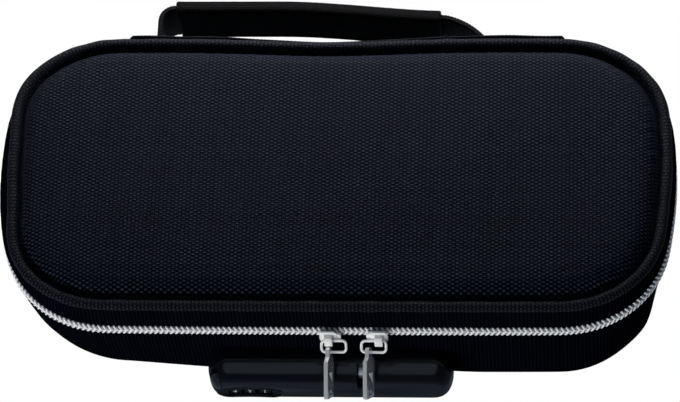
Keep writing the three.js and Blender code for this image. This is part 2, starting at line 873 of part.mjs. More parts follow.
[['left', -1], ['right', 1]].forEach(([name, side]) => {
  const carriage = new THREE.Group();
  carriage.position.set(slider_meeting_x + side * slider_pair_gap * half, case_front, zip_height);
  group.add(carriage);
  const slider = side < 0 ? sliderShape() : mirrorX(sliderShape());
  addPiece(`slider_${name}`, slider, chrome(), carriage);
  const swing = new THREE.Group();
  swing.position.set(-side * (crown_middle + ring_shift), ring_pivot_y, ring_pivot_z);
  swing.rotation.x = radians(ring_droop) - quarter_turn;
  carriage.add(swing);
  addPiece(`ring_${name}`, ringShape(), chrome(), swing);
  const hang = new THREE.Group();
  hang.position.set(-bar_span * half + pull_from_ring_end, 0, -bar_drop);
  hang.rotation.x = radians(pull_hang) - radians(ring_droop);
  swing.add(hang);
  const tab = addPiece(`pull_${name}`, pullShape(), chrome(), hang);
  tab.rotation.z = radians(pull_turn);
});

// Lock: its own frame has the back of the housing at Y 0, the front towards -Y and the foot at Z 0
const lock = new THREE.Group();
lock.position.set(lock_x, case_front + wall_outer - seam_gap, lock_foot);
group.add(lock);
const lock_middle = lock_height * half;
const lock_front = -lock_depth;
const lock_end = lock_length * half;

// One plan ring of a block with round corners, across X and Z
function roundRectangle(length, height, corner, y) {
  const cx = length * half - corner;
  const cz = height * half - corner;
  const corners = [[cx, cz, 0], [-cx, cz, quarter_turn], [-cx, -cz, Math.PI], [cx, -cz, -quarter_turn]];
  return corners.flatMap(([x, z, start]) => Array.from({ length: block_corner_steps + 1 }, (_, i) => {
    const angle = start + quarter_turn * (i / block_corner_steps);
    return new THREE.Vector3(x + corner * Math.cos(angle), y, z + corner * Math.sin(angle));
  }));
}

// A block that stands out to -Y, with its front edge rolled by a quarter circle
function rolledBlock(length, height, back, front, corner, edge) {
  const rings = [roundRectangle(length, height, corner, back)];
  for (let i = 0; i <= block_edge_steps; i += 1) {
    const angle = quarter_turn * (i / block_edge_steps);
    const inset = edge * (1 - Math.cos(angle));
    const y = front + edge * (1 - Math.sin(angle));
    rings.push(roundRectangle(length - inset * 2, height - inset * 2, corner - inset, y));
  }
  const cap = rings[0].map((p) => new THREE.Vector2(p.x, p.z));
  const skin = skinRings(rings, false, cap);
  return solidFrom(skin.points, skin.triangles).translate(0, 0, lock_middle);
}

const cavity_front = lock_front + lock_wall;
const dish_x = -lock_end + dish_from_end;
const dial_y = lock_front + dial_recess + dial_radius;
const dials_half = (dial_count - 1) * half;
const dial_xs = Array.from({ length: dial_count }, (_, i) => dish_x + (i - dials_half) * dial_pitch);
const slot_xs = [-1, 1].map((side) => slot_middle_x - lock_x + side * slot_pitch * half);
const screw_places = [-1, 1].flatMap((sx) => [-1, 1].map((sz) => ({
  x: sx * (lock_end - screw_inset),
  z: lock_middle + sz * screw_rise,
})));

const outer_block = rolledBlock(lock_length, lock_height, 0, lock_front, lock_corner, lock_edge);
const cavity = rolledBlock(
  lock_length - lock_wall * 2,
  lock_height - lock_wall * 2,
  overrun,
  cavity_front,
  lock_corner - lock_wall,
  lock_edge - lock_wall,
);
const boss_front = lock_front + lock_edge;
const bosses = screw_places.map(({ x, z }) =>
  placed(rod(boss_radius, -boss_front, 'y'), x, boss_front * half, z));
const pilot_holes = screw_places.map(({ x, z }) =>
  placed(rod(screw_radius + running_gap, (screw_grip + overrun) * 2, 'y', small_hole_steps), x, 0, z));
const slots = slot_xs.map((x) => boxBetween(
  x - slot_width * half, x + slot_width * half,
  lock_front - overrun, lock_front + slot_reach,
  lock_height - slot_depth, lock_height + overrun,
));

// The dials show at the bottom of an oval dish, whose sides narrow to the window
const floor_taper = dish_floor_length / dish_length;
const dish = new THREE.CylinderGeometry(floor_taper, 2 - floor_taper, dish_depth * 2, dish_steps)
  .scale(dish_length * half, 1, dish_height * half)
  .translate(dish_x, lock_front, dish_from_foot);
const window_reach = dials_half * dial_pitch + dial_width * half + lock_clearance;
const window_half = Math.sqrt(dial_radius ** 2 - (dial_y - cavity_front) ** 2) + seam_gap;
const window_cut = boxBetween(
  dish_x - window_reach, dish_x + window_reach,
  lock_front - overrun, cavity_front + overrun,
  dial_from_foot - window_half, dial_from_foot + window_half,
);

// The release button fills a corner of the housing's left end, flush with it
function buttonRoom(play, depth) {
  return boxBetween(
    -lock_end - overrun, -lock_end + button_width + play,
    lock_front - overrun, lock_front + depth,
    button_low - play, button_high + play,
  );
}

const button_cut = buttonRoom(lock_clearance, button_depth + button_travel + lock_clearance);
const lock_shell = combine(outer_block, { cut: [cavity] });
const lock_housing_shape = combine(lock_shell, {
  add: bosses,
  cut: [...pilot_holes, ...slots, dish, window_cut, button_cut],
});
addPiece('lock_housing', lock_housing_shape, black_plastic(), lock);

// Chassis: a plate that closes the back of the housing, with two cheeks that carry the dial shaft
const chassis_back = -seam_gap;
const chassis_front = chassis_back - chassis_thickness;
const chassis_plate = new THREE.Shape(roundRectangle(
  lock_length - (lock_wall + lock_clearance) * 2,
  lock_height - (lock_wall + lock_clearance) * 2,
  lock_corner - lock_wall - lock_clearance,
  0,
).map((p) => new THREE.Vector2(p.x, p.z)));
const dial_z = dial_from_foot - lock_middle;
const cheek_xs = [
  dial_xs[0] - dial_width * half - lock_clearance - cheek_thickness * half,
  dial_xs[dial_count - 1] + dial_width * half + lock_clearance + cheek_thickness * half,
];
const cheeks = cheek_xs.map((x) => boxBetween(
  x - cheek_thickness * half, x + cheek_thickness * half,
  dial_y - cheek_height * half, chassis_front + chassis_thickness * half,
  dial_z - cheek_height * half, dial_z + cheek_height * half,
));
const shaft_length = cheek_xs[1] - cheek_xs[0] + cheek_thickness;
const shaft_x = (cheek_xs[0] + cheek_xs[1]) * half;
const chassis_hole = (radius, x, z) =>
  placed(rod(radius, chassis_thickness + overrun * 2, 'y'), x, chassis_front, z - lock_middle);
const boss_holes = screw_places.map(({ x, z }) => chassis_hole(boss_radius + seam_gap, x, z));
const reset_local_x = -reset_from_middle;
const reset_hole_radius = reset_radius + running_gap * 2;
const chassis_reset_hole = chassis_hole(reset_hole_radius, reset_local_x, reset_from_foot);
const chassis_shape = combine(plateXZ(chassis_plate, chassis_front, chassis_back), {
  add: cheeks,
  cut: [
    placed(rod(shaft_radius + running_gap, shaft_length + overrun, 'x'), shaft_x, dial_y, dial_z),
    ...boss_holes,
    chassis_reset_hole,
  ],
});
addPiece('lock_chassis', chassis_shape.translate(0, 0, lock_middle), steel(), lock);
addPiece('dial_shaft', rod(shaft_radius, shaft_length, 'x'), steel(), lock)
  .position.set(shaft_x, dial_y, dial_from_foot);

// Dials: a ribbed wheel on a bush, turning on the shaft
function dialShape() {
  const count = dial_ribs * 2;
  const edge = Array.from({ length: count }, (_, i) => {
    const radius = i % 2 ? dial_radius - dial_rib_depth : dial_radius;
    const angle = full_turn * (i / count);
    return new THREE.Vector2(radius * Math.cos(angle), radius * Math.sin(angle));
  });
  const rings = [-half, half].map((share) =>
    edge.map((p) => new THREE.Vector3(share * dial_width, p.x, p.y)));
  const skin = skinRings(rings, false, edge);
  const wheel = solidFrom(skin.points, skin.triangles);
  return combine(wheel, { cut: [rod(bush_radius + running_gap, dial_width + overrun, 'x')] });
}

const bush_shape = combine(rod(bush_radius, dial_width, 'x'), {
  cut: [rod(shaft_radius + running_gap, dial_width + overrun, 'x')],
});
dial_xs.forEach((x, i) => {
  addPiece(`dial_${i + 1}`, dialShape(), black_plastic(), lock).position.set(x, dial_y, dial_from_foot);
  addPiece(`dial_bush_${i + 1}`, bush_shape, brass(), lock).position.set(x, dial_y, dial_from_foot);
});

// A leaf over the dials clicks into their ribs; it is held by a foot on the chassis
const leaf_low = dial_z + dial_radius + seam_gap;
const leaf_high = leaf_low + detent_thickness;
const leaf_left = dial_xs[0] - dial_width * half;
const leaf_right = dial_xs[dial_count - 1] + dial_width * half;
const leaf = boxBetween(
  leaf_left, leaf_right,
  dial_y - cheek_height * half, chassis_front - seam_gap,
  leaf_low, leaf_high,
);
const leaf_foot = boxBetween(
  leaf_left, leaf_right,
  chassis_front - seam_gap - detent_thickness, chassis_front - seam_gap,
  leaf_low - detent_thickness, leaf_high,
);
addPiece('detent_spring', combine(leaf, { add: [leaf_foot] }).translate(0, 0, lock_middle), steel(), lock);

// Latch: a bar that slides along X and puts a finger across each slot
const latch_back = chassis_front - latch_from_chassis;
const latch_front = latch_back - latch_thickness;
const latch_left = -lock_end + screw_inset + boss_radius + seam_gap;
const latch_right = slot_xs[1] + latch_finger * half;
const latch_low = latch_from_foot - latch_height * half;
const latch_high = latch_from_foot + latch_height * half;
const latch_bar = boxBetween(latch_left, latch_right, latch_front, latch_back, latch_low, latch_high);
const fingers = slot_xs.map((x) => boxBetween(
  x - latch_finger * half, x + latch_finger * half,
  latch_front - latch_finger_reach, latch_back - latch_thickness * half,
  latch_low, latch_high,
));
const latch_guide = boxBetween(
  latch_left, latch_left + latch_height,
  latch_back - latch_thickness * half, chassis_front - seam_gap,
  latch_low, latch_high,
);
addPiece('latch_bar', combine(latch_bar, { add: [...fingers, latch_guide] }), steel(), lock);

// Release button: the corner of the block that the housing leaves out, with a stem for the spring
const stem_x = -lock_end + stem_from_end;
const stem_z = button_low + stem_height * half;
const button_back = lock_front + button_depth + stem_reach;
const button_stem = boxBetween(
  stem_x - stem_width * half, stem_x + stem_width * half,
  lock_front + button_depth * half, button_back,
  button_low, button_low + stem_height,
);
addPiece(
  'release_button',
  combine(outer_block, { within: [buttonRoom(0, button_depth)], add: [button_stem] }),
  gloss_plastic(),
  lock,
);

// Button spring: a helix drawn at its pressed length, standing on the chassis
class Helix extends THREE.Curve {
  getPoint(share) {
    const angle = full_turn * spring_turns * share;
    const length = spring_long - spring_wire * 2;
    return new THREE.Vector3(
      spring_radius * Math.cos(angle),
      -spring_wire - length * share,
      spring_radius * Math.sin(angle),
    );
  }
}

const spring_long = chassis_front - button_back - button_travel - seam_gap * 2;
const spring_section = new THREE.Shape(Array.from({ length: spring_sides }, (_, i) => new THREE.Vector2(
  spring_wire * half * Math.cos(full_turn * (i / spring_sides)),
  spring_wire * half * Math.sin(full_turn * (i / spring_sides)),
)));
const button_spring_shape = new THREE.ExtrudeGeometry(spring_section, {
  steps: spring_turns * spring_turn_steps,
  extrudePath: new Helix(),
  bevelEnabled: false,
});
addPiece('button_spring', button_spring_shape, steel(), lock)
  .position.set(stem_x, chassis_front - seam_gap + spring_wire * half, stem_z);

// Inside the case: back plate, screws and the reset button of the lock
const inside_face = tray_outer + lining_thickness + seam_gap - wall_outer + seam_gap;
const plate_back = inside_face + back_plate_thickness;
const back_plate = new THREE.Shape(roundRectangle(
  lock_length - overrun * 2,
  (screw_rise + screw_head_radius + running_gap) * 2,
  screw_head_radius,
  0,
).map((p) => new THREE.Vector2(p.x, p.z)));
const through = (radius, x, z, steps = screw_hole_steps) =>
  placed(rod(radius, (plate_back + overrun) * 2, 'y', steps), x, 0, z);
const screw_holes = screw_places.map(({ x, z }) => through(screw_radius + seam_gap, x, z));
const reset_hole = through(reset_hole_radius, reset_local_x, reset_from_foot, round_steps);
const back_plate_solid = placed(plateXZ(back_plate, inside_face, plate_back), 0, 0, lock_middle);
addPiece('lock_back_plate', combine(back_plate_solid, { cut: [...screw_holes, reset_hole] }), steel(), lock);

const head_from = plate_back + seam_gap;
const head_middle = head_from + screw_head_height * half;
const screw_shape = combine(rod(screw_radius, head_middle + screw_grip, 'y', small_hole_steps)
  .translate(0, (head_middle - screw_grip) * half, 0), {
  add: [rod(screw_head_radius, screw_head_height, 'y', hole_steps).translate(0, head_middle, 0)],
});
screw_places.forEach(({ x, z }, i) => {
  addPiece(`lock_screw_${i + 1}`, screw_shape, steel(), lock).position.set(x, 0, z);
});
const reset_shape = rod(reset_radius, plate_back + reset_proud + reset_reach - chassis_front, 'y')
  .translate(0, (plate_back + reset_proud - reset_reach + chassis_front) * half, 0);
addPiece('reset_button', reset_shape, black_plastic(), lock)
  .position.set(reset_local_x, 0, reset_from_foot);

// The wall and the lining are pierced for the screws and the reset button
const piercing = [...screw_holes, reset_hole].map((hole) =>
  placed(hole, lock.position.x, lock.position.y, lock.position.z));
['base_wall', 'base_lining'].forEach((name) => {
  const sewn = group.getObjectByName(name);
  sewn.geometry = combine(sewn.geometry, { cut: piercing });
});

export default group;
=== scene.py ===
# %% [markdown]
# # Lockable zip case
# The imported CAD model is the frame. Each cloth piece is drawn again here as a fine surface that
# follows the same outline, and each moulded or cast piece gets its rounding and its finish.
# Lengths are in millimetres until a mesh is made, and metres after that.

# %% Frame
import json
import math

import bmesh
import bpy
import numpy as np
from mathutils import Matrix, Vector

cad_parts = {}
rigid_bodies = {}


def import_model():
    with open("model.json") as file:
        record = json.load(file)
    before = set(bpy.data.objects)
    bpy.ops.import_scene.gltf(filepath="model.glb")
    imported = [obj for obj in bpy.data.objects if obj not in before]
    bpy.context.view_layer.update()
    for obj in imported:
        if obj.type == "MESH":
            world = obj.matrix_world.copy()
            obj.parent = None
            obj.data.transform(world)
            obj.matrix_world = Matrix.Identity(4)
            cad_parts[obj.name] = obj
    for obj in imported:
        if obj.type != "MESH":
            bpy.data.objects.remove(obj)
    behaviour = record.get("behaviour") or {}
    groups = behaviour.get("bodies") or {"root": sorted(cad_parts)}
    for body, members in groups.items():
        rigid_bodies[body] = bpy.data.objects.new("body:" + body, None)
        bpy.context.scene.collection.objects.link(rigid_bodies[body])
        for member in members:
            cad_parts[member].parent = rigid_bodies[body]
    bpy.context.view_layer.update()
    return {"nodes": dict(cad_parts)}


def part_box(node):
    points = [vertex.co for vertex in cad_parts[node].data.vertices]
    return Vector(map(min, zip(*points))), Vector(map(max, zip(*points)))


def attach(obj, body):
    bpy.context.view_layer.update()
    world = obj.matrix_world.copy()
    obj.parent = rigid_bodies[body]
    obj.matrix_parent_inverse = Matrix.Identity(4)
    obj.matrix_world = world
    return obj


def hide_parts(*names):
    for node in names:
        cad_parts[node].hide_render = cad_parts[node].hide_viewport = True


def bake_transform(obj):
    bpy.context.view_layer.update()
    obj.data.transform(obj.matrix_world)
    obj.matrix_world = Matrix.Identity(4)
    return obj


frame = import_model()
scene = bpy.context.scene
nodes = frame["nodes"]

# %% [markdown]
# ## Sizes
# Everything is in millimetres. Heights, thicknesses and clearances are those of the CAD source. The
# outline is 3.6 mm longer than there, because a filled soft case bulges past its pattern. Naming each
# size once, and working the others out from it, keeps neighbouring pieces together when one changes.

# %% Sizes
MM = 0.001
case_length, case_depth = 253.6, 114.0
corner_radius, side_bow, front_bow = 34.0, 10.8, 1.0
zip_height, rim_height = 37.5, 55.0
seam_gap = 0.3
floor_inset, foot_round = 0.4, 2.2
wall_inset, wall_thickness = 0.8, 3.2
binding_radius, binding_inset = 2.1, 3.0
zip_pitch, tooth_height, zip_slit = 1.95, 2.5, 0.8
spine_left, spine_right, spine_thickness, spine_foot = 80.0, 85.0, 1.2, 3.0
weave_column = 1.43
chain_half = tooth_height + zip_slit / 2
base_top = zip_height - chain_half - seam_gap
lid_foot = zip_height + chain_half + seam_gap
rim_foot = rim_height - binding_radius - seam_gap
wall_outer = wall_inset / 2
print("base top", round(base_top, 2), "lid foot", round(lid_foot, 2), "rim foot", round(rim_foot, 2))

# %% [markdown]
# ## Camera
# The pose was fitted to the outline of the case in the photograph: a long lens that looks down by
# about 64 degrees, turned by nine degrees and rolled back by eight. A camera could be placed by eye
# as well, but a solved pose lets the edges of the render and the photograph be compared in pixels.

# %% Camera
photo_width = 680
camera_turn, camera_rise, camera_roll = 9.12, 63.58, -8.05
camera_distance, focal_pixels = 1400.0, 3730.5
camera_target = np.array([1.2, -4.36, 40.0])


def aim_camera():
    """Makes the camera. It stands off the target along (sin a cos e, -cos a cos e, sin e), and
    its lens in millimetres is the focal length in pixels over the picture's width, times 36."""
    a, e = math.radians(camera_turn), math.radians(camera_rise)
    back = Vector((math.sin(a) * math.cos(e), -math.cos(a) * math.cos(e), math.sin(e)))
    data = bpy.data.cameras.new("camera")
    data.sensor_fit = "HORIZONTAL"
    data.sensor_width = 36.0
    data.lens = focal_pixels / photo_width * data.sensor_width
    data.clip_start, data.clip_end = 0.01, 30.0
    camera = bpy.data.objects.new("camera", data)
    scene.collection.objects.link(camera)
    place = Vector(camera_target * MM) + back * camera_distance * MM
    turn = back.to_track_quat("Z", "Y").to_matrix().to_4x4()
    roll = Matrix.Rotation(math.radians(camera_roll), 4, "Z")
    camera.matrix_world = Matrix.Translation(place) @ turn @ roll
    scene.camera = camera
    return camera


camera = aim_camera()
print("camera at", [round(v, 3) for v in camera.location], "lens", round(camera.data.lens, 1))

# %% [markdown]
# ## Outline
# The case is a rounded rectangle whose ends bow outwards. It could be a Bezier curve with a bevel
# object, but every cloth surface here is a section carried along the same line, with its own small
# changes, so the outline is sampled once as an array and read by the length walked along it.

# %% Outline
corner_power = 2 / 2.4


def outline_points(corner_steps=240, run_steps=400):
    """The closed outline in plan, from the middle of the back towards -X. Each corner is a
    quarter of a superellipse of exponent 2.4, so that it eases into the runs beside it.
    A point of the rounded rectangle at shares (p, q) of its half sides moves out by
    side_bow p (1 - q squared)(1 + q / 5) in X, so that the ends are fuller towards the back,
    and by front_bow q (1 - p to the fourth) in Y."""
    run_x, run_y = case_length / 2 - side_bow, case_depth / 2 - front_bow
    cx, cy = run_x - corner_radius, run_y - corner_radius
    parts = []

    def run(x0, y0, x1, y1, steps):
        """A straight side: start (1 - share) + end share."""
        share = np.arange(steps)[:, None] / steps
        parts.append(np.array([[x0, y0]]) * (1 - share) + np.array([[x1, y1]]) * share)

    def corner(x, y, start):
        """A quarter of the superellipse: radius times each of cosine and sine to corner_power."""
        angle = np.radians(start + 90 * np.arange(corner_steps) / corner_steps)
        c, s = np.cos(angle), np.sin(angle)
        parts.append(np.stack([x + corner_radius * np.sign(c) * np.abs(c) ** corner_power,
                               y + corner_radius * np.sign(s) * np.abs(s) ** corner_power], 1))

    run(0, run_y, -cx, run_y, run_steps // 2)
    corner(-cx, cy, 90)
    run(-run_x, cy, -run_x, -cy, run_steps // 2)
    corner(-cx, -cy, 180)
    run(-cx, -run_y, cx, -run_y, run_steps)
    corner(cx, -cy, 270)
    run(run_x, -cy, run_x, cy, run_steps // 2)
    corner(cx, cy, 0)
    run(cx, run_y, 0, run_y, run_steps // 2)
    raw = np.concatenate(parts)
    p, q = raw[:, 0] / run_x, raw[:, 1] / run_y
    return np.stack([
        raw[:, 0] + side_bow * p * (1 - q ** 2) * (1 + 0.2 * q),
        raw[:, 1] + front_bow * q * (1 - p ** 4),
    ], 1)


plan = outline_points()
plan_steps = np.linalg.norm(np.roll(plan, -1, 0) - plan, axis=1)
walked = np.concatenate([[0], np.cumsum(plan_steps)])
girth = walked[-1]
plan_loop = np.vstack([plan, plan[:1]])
print("girth", round(girth, 1), "mm, plan box", np.round(plan.min(0), 1), np.round(plan.max(0), 1))

# %% Walking the outline
def smooth_loop(values, reach=9):
    """A closed row of vectors averaged with its neighbours by a bell of the given reach."""
    offsets = np.arange(-reach, reach + 1)
    weights = np.exp(-(offsets / (reach / 2)) ** 2)
    total = sum(w * np.roll(values, -k, 0) for k, w in zip(offsets, weights))
    return total / weights.sum()


plan_along = smooth_loop(np.roll(plan, -1, 0) - np.roll(plan, 1, 0))
plan_along /= np.linalg.norm(plan_along, axis=1)[:, None]
plan_normal = np.stack([plan_along[:, 1], -plan_along[:, 0]], 1)
if plan_normal[0, 1] < 0:
    plan_normal = -plan_normal
normal_loop = np.vstack([plan_normal, plan_normal[:1]])


def stations(lengths):
    """Points and outward normals of the outline at the given walked lengths."""
    at = np.mod(np.asarray(lengths, float), girth)
    point = np.stack([np.interp(at, walked, plan_loop[:, k]) for k in (0, 1)], 1)
    normal = np.stack([np.interp(at, walked, normal_loop[:, k]) for k in (0, 1)], 1)
    return point, normal / np.linalg.norm(normal, axis=1)[:, None]


def around(step=0.8):
    """Evenly spaced lengths all round the outline, first and last a step apart."""
    count = int(round(girth / step))
    return np.arange(count) * girth / count


def between(start, end, step=0.8):
    """Evenly spaced lengths from start to end, both included."""
    return np.linspace(start, end, max(int(round((end - start) / step)), 2) + 1)


print("stations a millimetre apart:", len(around(1.0)))

# %% [markdown]
# ## Mesh makers
# Cloth is a grid: its rows run along the outline and its columns across it, from hem to hem. One maker
# turns such a grid into faces and gives each its cloth coordinates, so that a weave follows the cloth
# round a corner instead of sliding over it as a projected pattern would.

# %% Grid to mesh
def mesh_object(name, points, faces, uvs=None, smooth=True, material=None):
    """An object at the origin from points in millimetres and faces. uvs holds one pair for each
    corner of each face, in the same order, in millimetres along and across the cloth."""
    mesh = bpy.data.meshes.new(name)
    mesh.from_pydata((np.asarray(points) * MM).tolist(), [], [list(map(int, f)) for f in faces])
    mesh.update()
    if uvs is not None:
        layer = mesh.uv_layers.new(name="cloth")
        layer.data.foreach_set("uv", (np.asarray(uvs, np.float32) * MM * 100).ravel())
    mesh.polygons.foreach_set("use_smooth", [smooth] * len(mesh.polygons))
    obj = bpy.data.objects.new(name, mesh)
    scene.collection.objects.link(obj)
    if material:
        mesh.materials.append(material)
    return obj


def grid_object(name, grid, uv, loop_u=False, loop_v=False, material=None, flip=False, wrap=None):
    """A surface from a grid of points, rows along the cloth and columns across it.
    Where it closes on itself the last strip uses uv values one step on, so no seam smears.
    wrap is the walked length at which the rows close."""
    rows, columns = grid.shape[:2]
    i = np.arange(rows if loop_u else rows - 1)
    j = np.arange(columns if loop_v else columns - 1)
    I, J = np.meshgrid(i, j, indexing="ij")
    I, J = I.ravel(), J.ravel()
    I1, J1 = (I + 1) % rows, (J + 1) % columns
    faces = np.stack([I * columns + J, I1 * columns + J, I1 * columns + J1, I * columns + J1], 1)
    U, V = uv[..., 0], uv[..., 1]
    step_v = U[:, 1:2] * 0 + (V[:, -1:] - V[:, :1]) / max(columns - 1, 1)
    U1 = np.where(I + 1 < rows, U[I1, J], wrap if wrap is not None else U[I, J])
    U1b = np.where(I + 1 < rows, U[I1, J1], wrap if wrap is not None else U[I, J1])
    V1 = np.where(J + 1 < columns, V[I, J1], V[I, J] + step_v[I, 0])
    V1b = np.where(J + 1 < columns, V[I1, J1], V[I1, J] + step_v[I1, 0])
    corners = np.stack([
        np.stack([U[I, J], V[I, J]], 1),
        np.stack([U1, V[I1, J]], 1),
        np.stack([U1b, V1b], 1),
        np.stack([U[I, J1], V1], 1),
    ], 1)
    if flip:
        faces = faces[:, ::-1]
        corners = corners[:, ::-1]
    return mesh_object(name, grid.reshape(-1, 3), faces, corners.reshape(-1, 2), True, material)


def band_faces(rings, count):
    """The quads between neighbouring closed rings of count points each: point j of ring i is
    number i count + j, and its neighbour is j + 1 taken round the ring."""
    i, j = [m.ravel() for m in np.meshgrid(np.arange(rings - 1), np.arange(count), indexing="ij")]
    k = (j + 1) % count
    return np.stack([i * count + j, i * count + k, (i + 1) * count + k, (i + 1) * count + j], 1).tolist()


def lay_flat(piece, uv):
    """Gives a nearly level sheet the plan position of each vertex as its cloth coordinates."""
    corner_vertex = np.zeros(len(piece.data.loops), np.int64)
    piece.data.loops.foreach_get("vertex_index", corner_vertex)
    values = (uv.reshape(-1, 2)[corner_vertex] * MM * 100).astype(np.float32)
    piece.data.uv_layers["cloth"].data.foreach_set("uv", values.ravel())


# %% Sections
middle_reach = (case_length - case_depth) / 2


def section_lengths(section):
    """The length walked along a section of [inset, height] pairs."""
    section = np.asarray(section, float)
    steps = np.linalg.norm(np.diff(section, axis=0), axis=1)
    return np.concatenate([[0], np.cumsum(steps)])


def refine(section, step=0.7, closed=False):
    """The section with points about a step apart, drawn as a smooth curve through its points."""
    section = np.asarray(section, float)
    if closed:
        section = np.vstack([section, section[:1]])
    at = section_lengths(section)
    count = max(int(round(at[-1] / step)), len(section))
    new = np.linspace(0, at[-1], count + 1)
    out = np.stack([np.interp(new, at, section[:, k]) for k in (0, 1)], 1)
    return out[:-1] if closed else out


def carry(section, lengths):
    """The section's [inset, height] pairs placed at stations of the outline: a grid of points
    and its uv, which is the walked length by the length along the section."""
    section = np.asarray(section, float)
    point, normal = stations(lengths)
    xy = point[:, None, :] - normal[:, None, :] * section[None, :, :1]
    z = np.broadcast_to(section[None, :, 1:], (len(lengths), len(section), 1))
    grid = np.concatenate([xy, z], 2)
    v = section_lengths(section)
    uv = np.stack(np.broadcast_arrays(np.asarray(lengths)[:, None], v[None, :]), 2)
    return grid.copy(), uv.copy()


def to_middle(edge, t):
    """Straight lines from an edge to the case's middle line, which runs along X and stops
    middle_reach from the centre: at share t a point is edge (1 - t) + middle t. Gives X and Y."""
    middle_x = np.clip(edge[:, 0], -middle_reach, middle_reach)
    x = edge[:, :1] + (middle_x - edge[:, 0])[:, None] * t
    return x, edge[:, 1:2] * (1 - t)


def grid_normals(grid, loop_u=False):
    """Unit normals of a grid of points from central differences."""
    if loop_u:
        du = np.roll(grid, -1, 0) - np.roll(grid, 1, 0)
    else:
        du = np.gradient(grid, axis=0)
    dv = np.gradient(grid, axis=1)
    n = np.cross(du, dv)
    return n / np.maximum(np.linalg.norm(n, axis=2, keepdims=True), 1e-9)


# %% Unevenness
def noise_row(count, waves, seed, closed=True):
    """A smooth random row between about -1 and 1, the mean of sine waves with seeded phases.
    waves is the lowest and highest number of waves in the row."""
    rng = np.random.default_rng(seed)
    low, high = waves
    picks = rng.integers(low, high + 1, 9)
    phases = rng.uniform(0, 2 * math.pi, 9)
    x = np.arange(count) / (count if closed else max(count - 1, 1))
    return sum(np.sin(2 * math.pi * k * x + p) for k, p in zip(picks, phases)) / 3.2


def bell(x, middle, width):
    """A smooth hump of height 1 at middle that falls to a tenth about 1.5 widths away."""
    return np.exp(-((np.asarray(x) - middle) / width) ** 2)


def soft_step(x, start, end):
    """0 before start, 1 after end and a smooth cubic between: 3 t squared - 2 t cubed."""
    t = np.clip((np.asarray(x, float) - start) / (end - start), 0, 1)
    return t * t * (3 - 2 * t)


print("a soft step from 0 to 1, read at its quarters:", np.round(soft_step(np.linspace(0, 1, 5), 0, 1), 3))

# %% [markdown]
# ## Materials
# The cloth is a plain weave of wide warp columns and half as high weft rows: the photograph's
# weave repeats every 1.43 mm along the case and every 0.74 mm across it. A picture of cloth would be
# quicker, but nodes stay sharp at any distance. One node group makes the weave, a second makes sewn
# stitches and a third makes wear. Each cloth places the weave and the wear with its own values, each
# moulded finish places the wear alone, and no material here places the stitches.

# %% Node helpers
class Wires:
    """Adds nodes to a node tree and links their sockets, so that sums read in one line."""

    def __init__(self, tree):
        """Keeps the node tree to work in."""
        self.tree = tree

    def add(self, kind, **settings):
        """A new node of the kind with the settings."""
        made = self.tree.nodes.new(kind)
        for key, value in settings.items():
            setattr(made, key, value)
        return made

    def join(self, source, target):
        """Links a socket, or writes a plain number or colour into the target."""
        if isinstance(source, (int, float, tuple)):
            target.default_value = source
        else:
            self.tree.links.new(source, target)

    def math(self, operation, *values, clamp=False):
        """A Math node on up to three values."""
        made = self.add("ShaderNodeMath", operation=operation, use_clamp=clamp)
        for value, socket in zip(values, made.inputs):
            self.join(value, socket)
        return made.outputs[0]

    def mix(self, factor, low, high):
        """low where factor is 0, high where it is 1, for two colours."""
        made = self.add("ShaderNodeMix", data_type="RGBA")
        self.join(factor, made.inputs[0])
        self.join(low, made.inputs[6])
        self.join(high, made.inputs[7])
        return made.outputs[2]

    def ramp(self, value, low, high, to_low=0.0, to_high=1.0):
        """value from low..high read as to_low..to_high, held at the ends."""
        made = self.add("ShaderNodeMapRange", interpolation_type="SMOOTHSTEP")
        for index, number in enumerate((value, low, high, to_low, to_high)):
            self.join(number, made.inputs[index])
        return made.outputs[0]

    def noise(self, vector, scale, detail=2.0, rough=0.5):
        """Cloudy noise between 0 and 1, with scale cells to a unit of the vector."""
        made = self.add("ShaderNodeTexNoise")
        self.join(vector, made.inputs["Vector"])
        made.inputs["Scale"].default_value = scale
        made.inputs["Detail"].default_value = detail
        made.inputs["Roughness"].default_value = rough
        return made.outputs["Fac"]


def new_group(name, inputs, outputs):
    """A shader node group with named float or vector inputs and outputs, and its two ends."""
    group = bpy.data.node_groups.new(name, "ShaderNodeTree")
    for label, kind, default in inputs:
        socket = group.interface.new_socket(label, in_out="INPUT", socket_type=kind)
        if default is not None:
            socket.default_value = default
    for label, kind in outputs:
        group.interface.new_socket(label, in_out="OUTPUT", socket_type=kind)
    w = Wires(group)
    return group, w, w.add("NodeGroupInput"), w.add("NodeGroupOutput")


